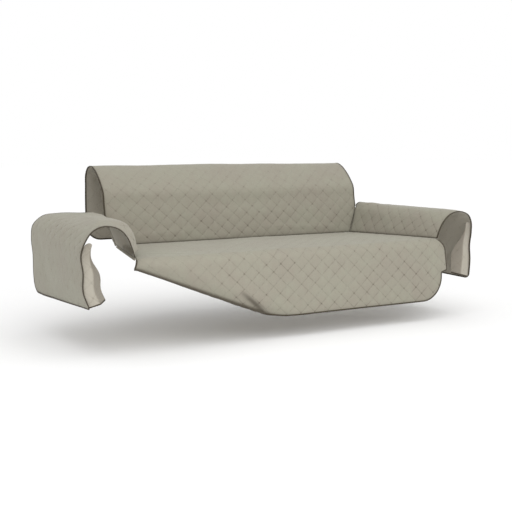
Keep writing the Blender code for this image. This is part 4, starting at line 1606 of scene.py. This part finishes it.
@dataclass
class Panel:
    """A quilted panel: its cut outline, its cloth and the binding of its free edges."""

    finishes: Finishes
    name: str
    node: str
    drape: Drape
    rows: Row = Row.ALONG
    free_first: int = 0  # the corners between which its edge is bound
    free_last: int = 0
    tape_step: float = 0.006
    # painted shade along the seams and beside the binding
    seam_shade: Shade = Shade(1.0, 0.0045, 0.28, 0.016)
    bound_shade: Shade = Shade(soft=0.22, reach=0.006)

    def corners(self, inset: float) -> list[Corner]:
        """Corners of the outline, its free edges at a given distance inside the finished edge."""
        raise NotImplementedError

    def fold_lines(self) -> list[tuple[Array, Array]]:
        """Lines along which the flat cloth is cut for a tight fold."""
        return []

    def round_by(self, corner: Corner, inset: float) -> Corner:
        """A corner whose radius suits an outline at the given distance inside the finished edge."""
        radius = corner.radius + CLOTH.inset - inset if corner.radius else 0.0
        return Corner(corner.u, corner.v, max(radius, 0.0))

    def outline(self, inset: float) -> Array:
        """Closed outline with its round corners, as (u, v)."""
        return rounded([self.round_by(c, inset) for c in self.corners(inset)])

    def path(self, first: int, last: int, inset: float) -> Array:
        """Edge from one corner on to another.

        Args:
            first, last: numbers of the corners where it starts and ends.
            inset: how far it lies inside the finished edge, where it is free.

        Returns:
            Its points, as (u, v).
        """
        corners = [self.round_by(c, inset) for c in self.corners(inset)]
        last += len(corners) if last < first else 0
        return rounded((corners + corners)[first:last + 1], closed=False)

    def centre(self) -> Array:
        """Centre of the quilting: the middle of the solid's cloth."""
        outline = self.outline(CLOTH.inset)
        return (outline.min(axis=0) + outline.max(axis=0)) / 2

    def quilt(self, place: Array) -> Array:
        """Height of the quilting from 0 to 1: with a = u / wide + v / long and b = u / wide - v / long, a
        power of |sin(pi a) sin(pi b)|, times a value a little different for each diamond.

        Args:
            place: flat places from the quilting's centre.

        Returns:
            One value for each place.
        """
        a = place[:, 0] / CLOTH.wide + place[:, 1] / CLOTH.long
        b = place[:, 0] / CLOTH.wide - place[:, 1] / CLOTH.long
        turn = SHUFFLE[0] * np.floor(a) + SHUFFLE[1] * np.floor(b) + len(self.name)
        uneven = 1 - CLOTH.uneven + CLOTH.uneven * np.sin(turn)
        return uneven * np.abs(np.sin(np.pi * a) * np.sin(np.pi * b)) ** CLOTH.steep

    def sewn_distance(self, u: Array, v: Array) -> Array:
        """Distance of flat places from the sewn edges."""
        seam = self.path(self.free_last, self.free_first, CLOTH.tuck)
        return edge_distance(np.stack([u, v], axis=-1), seam)

    def lift(self, u: Array, v: Array) -> Array:
        """Unevenness, which the seams hold still: the relief times a smooth step."""
        return self.drape.relief(u, v) * smooth(self.sewn_distance(u, v) / CLOTH.seam_hold)

    def cut(self) -> tuple[Array, Faces]:
        """The flat cloth, as a grid whose rows follow the panel's own direction.

        Returns:
            Its (u, v) points and its polygons.
        """
        swap = self.rows is Row.ACROSS
        order = [1, 0] if swap else [0, 1]
        corners = self.corners(CLOTH.tuck)
        sharp = [c[order[1]] for c in corners if not c.radius]
        step = np.array([CLOTH.wide, CLOTH.long])[order] / CLOTH.cells
        points, faces = trimmed_grid(self.outline(CLOTH.tuck)[:, order], sharp, tuple(step),
                                     self.centre()[order])
        points = points[:, order]
        faces = faces.turned() if swap else faces
        lines = self.fold_lines()
        return scored(points, faces, lines) if lines else (points, faces)

    def build_cloth(self) -> Object:
        """Cloth as a closed shell of an outer layer, a reverse and the cut edge between them. The layers lie
        at the relief plus and minus half the thickness and the quilting's puff.

        Returns:
            The cloth.
        """
        flat, faces = self.cut()
        across, along = flat.T
        free = edge_distance(flat, self.path(self.free_first, self.free_last, CLOTH.tuck))
        sewn = self.sewn_distance(across, along)
        bound = free - CLOTH.tape_wide + CLOTH.tuck
        full = self.drape.fullness(across, along)
        pad = self.quilt(flat - self.centre()) * smooth(np.minimum(bound, sewn) / CLOTH.fade) * full
        half = CLOTH.edge_half + (CLOTH.half - CLOTH.edge_half) * smooth(bound / CLOTH.edge_run)
        draw = CLOTH.groove * bell(sewn, CLOTH.groove_wide)
        lift = self.lift(across, along)
        outer = self.drape.place(across, along, lift + half + CLOTH.puff * pad - draw)
        inner = self.drape.place(across, along, lift - half - CLOTH.back_puff * pad)
        # painted shade: darker in the creases, along the fold, at the seams and beside the binding
        press = self.drape.press(across, along) + self.seam_shade.at(sewn)
        press += self.bound_shade.at(np.maximum(bound, 0))
        looks = {"press": np.tile(np.clip(press, 0, 1), 2), "full": np.tile(full, 2)}
        shell, of_reverse = faces.shell(len(flat))
        if self.drape.facing < 0:
            shell = shell.turned()
        uv = np.tile(flat - self.centre(), (2, 1))
        return add_piece(self.name, np.vstack([outer, inner]), shell, uv,
                         [self.finishes.cloth, self.finishes.reverse], of_reverse, looks)

    def build_tape(self) -> Object:
        """Binding of the free edges.

        Returns:
            The tape.
        """
        name = self.name.replace("cloth", "tape")
        edge = self.path(self.free_first, self.free_last, 0.0)
        out = 1 if signed_area(self.outline(0.0)) > 0 else -1
        return BindingTape(name, self.drape, self.lift, edge, self.finishes.tape, out, self.tape_step).build()

    def flat_size(self) -> tuple[Flat, float]:
        """The cut's width and length over its finished edges, and its area."""
        outline = self.outline(0.0)
        return tuple(np.ptp(outline, axis=0).tolist()), abs(signed_area(outline))

    def dress(self, sewn_to: Sequence[str] = ()) -> None:
        """Build the cloth and its tape, and hide the parts that they replace.

        Args:
            sewn_to: names of the cloths that this one is sewn to and hangs from; not used.
        """
        cloth = self.build_cloth()
        tape = self.build_tape()
        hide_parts(self.node)
        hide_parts(self.node.replace("panel", "binding"))
        size, area = self.flat_size()


@dataclass
class BackPanel(Panel):
    """Back panel, from the seam at the back of the seat over the ridge and down behind."""

    name: str = "back_cloth"
    node: str = "back_panel"
    drape: BackDrape = field(default_factory=BackDrape)
    free_first: int = 2
    free_last: int = 5

    def corners(self, inset: float) -> list[Corner]:
        """Corners of the outline, from the crease's right end round to its left end.

        Args:
            inset: how far free edges lie inside the finished edge.

        Returns:
            The corners.
        """
        low = seam_inset(COVER.back_seat_turn)
        side = seam_inset(COVER.arm_back_turn)
        free = COVER.back_half - inset
        top = self.drape.seam_top
        right = [Corner(COVER.crease_half - side, low), Corner(COVER.back_half - side, top),
                 Corner(free, top + COVER.back_widen),
                 Corner(free, self.drape.curve.length - inset, COVER.rear_corner)]
        return right + [Corner(-c.u, c.v, c.radius) for c in reversed(right)]


@dataclass
class SeatPanel(Panel):
    """Seat panel with the front flap, whose left corner is turned under."""

    name: str = "seat_cloth"
    node: str = "seat_panel"
    drape: SeatDrape = field(default_factory=SeatDrape)
    free_first: int = 1
    free_last: int = 12
    tape_step: float = 0.003
    fold_steps: int = 12
    hem_lift: float = 0.022  # the hem rises towards the turned corner
    lift_start: Flat = (-0.115, 0.30)  # u and radius of the bend where it starts to rise
    lift_end: Flat = (-0.270, 0.20)  # and of the one where it is level again
    right_flare: float = 0.012  # the right wing widens by twice this towards its end
    right_round: float = 0.040
    left_wing: float = 0.9185
    left_shoulder: float = 0.050
    left_round: float = 0.030
    end_round: float = 0.006  # radius of the wings' lower corners

    def corners(self, inset: float) -> list[Corner]:
        """Corners of the outline, from the crease's right end down the flap and back up on the left.

        Args:
            inset: how far free edges lie inside the finished edge.

        Returns:
            The corners.
        """
        rear = seam_inset(COVER.back_seat_turn)
        side = seam_inset(COVER.seat_arm_turn)
        seam_end = self.drape.arm_seam_end
        wing_end = self.drape.flap_v(COVER.wing_end_z)
        hem = self.drape.flap_v(COVER.flap_hem_z) - inset
        lifted = hem - self.hem_lift
        wing, flap = COVER.wing_half - inset, COVER.flap_half - inset
        right = [Corner(COVER.crease_half - side, rear), Corner(COVER.front_half - side, seam_end),
                 Corner(wing - self.right_flare, seam_end + COVER.wing_shoulder, self.right_round),
                 Corner(wing + self.right_flare, wing_end, self.end_round),
                 Corner(flap, wing_end + COVER.wing_step), Corner(flap, hem, COVER.flap_corner)]
        left = [Corner(-c.u, c.v, c.radius) for c in right]
        left[1] = Corner(-COVER.front_half - COVER.front_ease + side, seam_end)
        left[2] = Corner(inset - self.left_wing, seam_end + self.left_shoulder, self.left_round)
        left[3] = Corner(inset - self.left_wing, wing_end, self.end_round)
        left[5] = Corner(-flap, lifted, COVER.flap_corner)
        bends = [Corner(self.lift_start[0], hem, self.lift_start[1]),
                 Corner(self.lift_end[0], lifted, self.lift_end[1])]
        return right + bends + left[::-1]

    def fold_lines(self) -> list[tuple[Array, Array]]:
        """Lines across the fold, evenly spaced over its half turn."""
        places = np.linspace(0, self.drape.bend, self.fold_steps + 1)
        return [(self.drape.fold_start + self.drape.fold_out * p, self.drape.fold_out) for p in places]


@dataclass
class ArmPanel(Panel):
    """Arm panel, from the seat's seam over the rolled arm and down as the outer flap."""

    drape: ArmDrape
    rows: Row = Row.ACROSS
    free_first: int = 3
    free_last: int = 9

    @classmethod
    def of(cls, finishes: Finishes, side: Side) -> "ArmPanel":
        """The panel of one arm."""
        return cls(finishes, f"arm_cloth_{side.word}", f"arm_panel_{side.word}", ArmDrape(side=side))

    def corners(self, inset: float) -> list[Corner]:
        """Corners of the outline, from the seat seam's front end back, round the rear edge and to the front.

        Args:
            inset: how far free edges lie inside the finished edge.

        Returns:
            The corners.
        """
        seat = seam_inset(COVER.seat_arm_turn)
        back = seam_inset(COVER.arm_back_turn)
        front = COVER.arm_front_y + inset
        rear = self.drape.rear
        seam_top = self.drape.u_of(rear, rear.knot_runs[SEAM_TOP])
        corners = [Corner(seat, front), Corner(seat, COVER.crease_y - back),
                   Corner(seam_top, BACK_PROFILE[BACK_SEAM_TOP].y - back)]
        for edge in ARM_REAR_EDGE:
            past = -inset if edge.section == HEM else edge.past
            u = self.drape.u_of(rear, rear.knot_runs[edge.section]) + past
            corners.append(Corner(u, edge.y + CLOTH.inset - inset, edge.radius))
        corners.append(Corner(self.drape.width - inset, front, self.drape.shape.front_corner))
        return corners


@dataclass
class ReturnStrip:
    """The strip turned in at the front of an outer flap, with its bound hem."""

    arm: ArmPanel
    top_z: float = -0.320
    wide_top: float = 0.034
    wide_hem: float = 0.112
    widen_run: float = 0.70  # share of its length over which it widens
    hem_rise: float = 0.030
    gap: float = 0.0008
    rows: int = 96
    columns: int = 30
    wave_high: float = 0.0018
    wave_long: float = 0.14
    wave_turn: float = 0.1  # where the wave starts, in turns
    wave_run: float = 0.03  # and how far inwards it grows
    pad_high: float = 0.0022  # padding of the part that faces the front
    pad_wide: float = 0.045
    pad_end: float = 0.05  # share of its length over which it thins out at the hem
    bend_dark: float = 0.75  # painted shade past the bend, at the top
    bend_less: float = 0.25  # less by this further down
    bend_run: float = 0.8  # share of its length over which it lessens
    bend_edge: Fade = Fade(0.0, -0.003, 0.009)
    # painted shade beside the flap's edge
    flap_shade: Shade = Shade(0.7, 0.004)
    # painted shade at its top
    top_dark: float = 0.40
    top_run: float = 0.55  # share of its length over which that fades
    tape_short: float = 0.002
    tape_points: int = 24

    def wave(self, u: Array, v: Array) -> Array:
        """Slight waviness: a sine down the strip that grows inwards."""
        turns = u / self.wave_long + self.wave_turn
        return self.wave_high * np.sin(2 * np.pi * turns) * smooth(v / self.wave_run)

    def hem(self, v: Array, low: float) -> Array:
        """Flat u of the hem, which rises inwards in proportion to v."""
        return low - self.hem_rise * v / self.wide_hem

    def surface(self) -> tuple[ReturnDrape, Array, float]:
        """Its surface, and the flat places of its grid. Each lies at v = gap + share (edge - gap), the edge
        widening from top to hem, and at u from the rounded top to the hem, which rises inwards.

        Returns:
            The surface, flat places with rows down and columns inwards, and the hem's u at the flap.
        """
        arm = self.arm.drape
        run = arm.front.knot_runs[ROLL_SIDE] + ARM_PROFILE[ROLL_SIDE].front_z - self.top_z
        top = arm.u_of(arm.front, run)
        low = arm.width - CLOTH.inset
        down, across = np.meshgrid(np.linspace(0, 1, self.rows + 1), np.linspace(0, 1, self.columns + 1),
                                   indexing="ij")
        edge = self.wide_top + (self.wide_hem - self.wide_top) * smooth(down / self.widen_run)
        v = self.gap + across * (edge - self.gap)
        start = top + self.wide_top / 2 * (1 - np.sqrt(1 - (2 * across - 1) ** 2))
        u = start + (self.hem(v, low - CLOTH.tuck) - start) * down
        return ReturnDrape(arm=arm, top=top), np.stack([u, v], axis=-1), low

    def shade(self, drape: ReturnDrape, u: Array, v: Array) -> Array:
        """Painted shade of the strip: the greatest of the shades past its bend, beside the flap and at its
        top, which fade by smooth steps and a bell curve.

        Args:
            drape: its surface.
            u, v: flat places, with rows down.

        Returns:
            Painted shade from 0 to 1.
        """
        down = np.linspace(0, 1, len(u))[:, None]
        bend = self.bend_dark - self.bend_less * smooth(down / self.bend_run)
        bend = bend * self.bend_edge.at(v - drape.front_part(u))
        top = self.top_dark * (1 - smooth(down / self.top_run))
        return np.maximum(np.maximum(bend, self.flap_shade.at(v)), top)

    def build_strip(self, drape: ReturnDrape, flat: Array) -> Object:
        """Strip as a closed shell of two layers and the edge between them, the outer one a little padded.

        Args:
            drape: its surface.
            flat: the flat places of its grid.

        Returns:
            The strip.
        """
        u, v = flat[..., 0], flat[..., 1]
        up = np.linspace(1, 0, len(u))[:, None]
        pad = self.pad_high * np.sin(np.pi * np.clip(v / self.pad_wide, 0, 1)) ** 2
        pad = pad * smooth(up / self.pad_end)
        wave = self.wave(u, v)
        outer = drape.place(u, v, CLOTH.half + pad + wave).reshape(-1, 3)
        inner = drape.place(u, v, wave - CLOTH.half).reshape(-1, 3)
        ident = np.arange(v.size).reshape(v.shape)
        quads = Faces.of(ident[:-1, :-1], ident[:-1, 1:], ident[1:, 1:], ident[1:, :-1])
        shell = quads.turned().shell(v.size)[0]
        if drape.facing > 0:
            shell = shell.turned()
        # painted shade of the strip, carried for the finish
        looks = {"press": np.tile(self.shade(drape, u, v).ravel(), 2),
                 "full": np.tile(drape.fullness(u, v).ravel(), 2)}
        uv = np.tile(flat.reshape(-1, 2), (2, 1))
        return add_piece(self.arm.name.replace("arm", "return"), np.vstack([outer, inner]), shell, uv,
                         [self.arm.finishes.reverse], looks=looks)

    def build_tape(self, drape: ReturnDrape, low: float) -> Object:
        """Binding of its hem.

        Args:
            drape: its surface.
            low: the hem's u at the flap.

        Returns:
            The tape.
        """
        v = np.linspace(self.gap, self.wide_hem, self.tape_points)
        path = np.stack([self.hem(v, low), v], axis=1)
        name = f"return_tape_{self.arm.drape.side.word}"
        finish = self.arm.finishes.tape
        return BindingTape(name, drape, self.wave, path, finish, 1, short=self.tape_short).build()

    def dress(self) -> None:
        """Build the strip and its hem tape, and hide the part that they replace."""
        drape, flat, low = self.surface()
        strip = self.build_strip(drape, flat)
        tape = self.build_tape(drape, low)
        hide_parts(f"arm_return_{self.arm.drape.side.word}")
        length = float(np.ptp(flat[..., 0]))


@dataclass
class SeamAllowance:
    """The raw edges behind a seam: a flat strip carried along it."""

    name: str
    start: Place
    end: Place
    inward: Place
    finish: Material
    steps: int = 60
    deep: float = 0.011
    half: float = 0.0013
    behind: float = 0.0004
    short: float = 0.004  # share of the seam missing at either end
    thin: float = 0.7  # share of the thickness left at its free edge
    wave_high: float = 0.0012
    wave_turns: float = 40.0  # radians along the whole seam

    def build(self) -> Object:
        """Strip = seam + inward x depth + across x thickness, with a slight wave along its free edge.

        Returns:
            The strip.
        """
        start, end, inward = (np.array(place) for place in (self.start, self.end, self.inward))
        long = np.linalg.norm(end - start)
        along = (end - start) / long
        inward = inward - along * (along @ inward)
        inward /= np.linalg.norm(inward)
        across = np.cross(along, inward)
        share = np.linspace(self.short, 1 - self.short, self.steps + 1)[:, None, None]
        depth = np.array([0, 0.5, 1, 1, 0.5, 0])[None, :, None] * self.deep + self.behind
        thick = np.array([1, 1, self.thin, -self.thin, -1, -1])[None, :, None] * self.half
        wave = self.wave_high * np.sin(share * self.wave_turns) * (depth - self.behind) / self.deep
        points = start + (end - start) * share + inward * depth + across * (thick + wave)
        ident, after = ring_grid(*points.shape[:2])
        faces = Faces.joined(Faces.of(ident[:-1], ident[1:], after[1:], after[:-1]),
                             Faces.of(*ident[0]), Faces.of(*ident[-1][::-1]))
        uv = np.stack(np.broadcast_arrays(share[..., 0] * long, depth[..., 0]), axis=-1)
        return add_piece(self.name, points.reshape(-1, 3), faces, uv.reshape(-1, 2), [self.finish])


@dataclass
class Studio:
    """Plain pale floor, soft light and the camera at the photograph's viewing angle."""

    camera_at: Place = (-2.523, -4.663, 0.107)
    camera_turn: Place = (83.2, 0.0, -30.5)  # degrees, like all turns here
    lens: float = 64.5
    sensor: float = 36.0
    far: float = 200.0  # the camera sees this far
    floor_half: float = 40.0
    surround: float = 0.80
    light_power: float = 0.92
    light_spread: float = 70.0  # degrees
    light_turn: Place = (28.0, 0.0, 0.0)
    fill_at: Place = (-0.60, -3.40, 0.35)
    fill_turn: Place = (80.0, 0.0, 0.0)
    fill_size: float = 1.2
    fill_power: float = 15.0

    def build_floor(self) -> None:
        """A large plane below the hem."""
        corners = np.array([(-1, -1), (1, -1), (1, 1), (-1, 1)]) * self.floor_half
        points = np.column_stack([corners, np.full(len(corners), COVER.floor_z)])
        mesh = fill_mesh("floor", points, Faces.of(*range(len(corners))))
        mesh.materials.append(FloorFinish().build())
        add_object("floor", mesh)

    def build_camera(self) -> None:
        """The camera, level but for its tilt."""
        data = bpy.data.cameras.new("camera")
        data.lens = self.lens
        data.sensor_width = self.sensor
        data.clip_end = self.far
        bpy.context.scene.camera = add_object("camera", data, self.camera_turn, self.camera_at)

    def build_surround(self) -> None:
        """An even surround, white to the eye and a little dimmer as light."""
        world = bpy.data.worlds.new("surround")
        world.use_nodes = True
        nodes = Nodes(world.node_tree)
        seen = nodes.add("ShaderNodeLightPath").outputs["Is Camera Ray"]
        strength = nodes.math("MULTIPLY_ADD", seen, 1.0 - self.surround, self.surround)
        background = world.node_tree.nodes["Background"]
        nodes.feed(background.inputs["Color"], WHITE)
        nodes.feed(background.inputs["Strength"], strength)
        bpy.context.scene.world = world

    def build_lights(self) -> None:
        """One very soft light from high in front, and a low fill."""
        light = bpy.data.lights.new("soft_light", "SUN")
        light.energy = self.light_power
        light.angle = math.radians(self.light_spread)
        add_object("soft_light", light, self.light_turn)
        fill = bpy.data.lights.new("fill_light", "AREA")
        fill.size = self.fill_size
        fill.energy = self.fill_power
        add_object("fill_light", fill, self.fill_turn, self.fill_at)

    def build(self) -> None:
        """Set up the whole studio."""
        view = bpy.context.scene.view_settings
        view.view_transform = "Standard"
        view.look = "None"
        self.build_floor()
        self.build_camera()
        self.build_surround()
        self.build_lights()
        log.info("studio: floor, camera and lights")


def build_seams(finish: Material) -> None:
    """The sewn edges behind each seam of the cover: one between back and seat, and two beside each arm.

    Args:
        finish: their finish.
    """
    creases = {side: (side.value * COVER.crease_half, COVER.crease_y, COVER.crease_z) for side in Side}
    SeamAllowance("seam_back_seat", *creases.values(), (0.0, 0.62, -0.78), finish, steps=120).build()
    seam_top = BACK_PROFILE[BACK_SEAM_TOP]
    for side, crease in creases.items():
        sign = side.value
        front_half = COVER.front_half + (COVER.front_ease if side is Side.LEFT else 0.0)
        front = (sign * front_half, COVER.arm_front_y, COVER.arm_front_z)
        top = (sign * COVER.back_half, seam_top.y, seam_top.z)
        SeamAllowance(f"seam_seat_arm_{side.word}", crease, front, (sign * 0.5, 0.0, -0.86), finish).build()
        SeamAllowance(f"seam_arm_back_{side.word}", crease, top, (sign * 0.6, 0.8, 0.0), finish,
                      steps=30).build()


def main() -> None:
    """Build the cover piece by piece and set up the studio."""
    logging.basicConfig(level=logging.INFO, format="%(name)s: %(message)s")
    finishes = Finishes.build()
    BackPanel(finishes).dress()
    SeatPanel(finishes).dress(["back_cloth"])
    for side in Side:
        arm = ArmPanel.of(finishes, side)
        arm.dress(["seat_cloth"])
        ReturnStrip(arm).dress()
    build_seams(finishes.reverse)
    Studio().build()


if __name__ == "__main__":
    main()
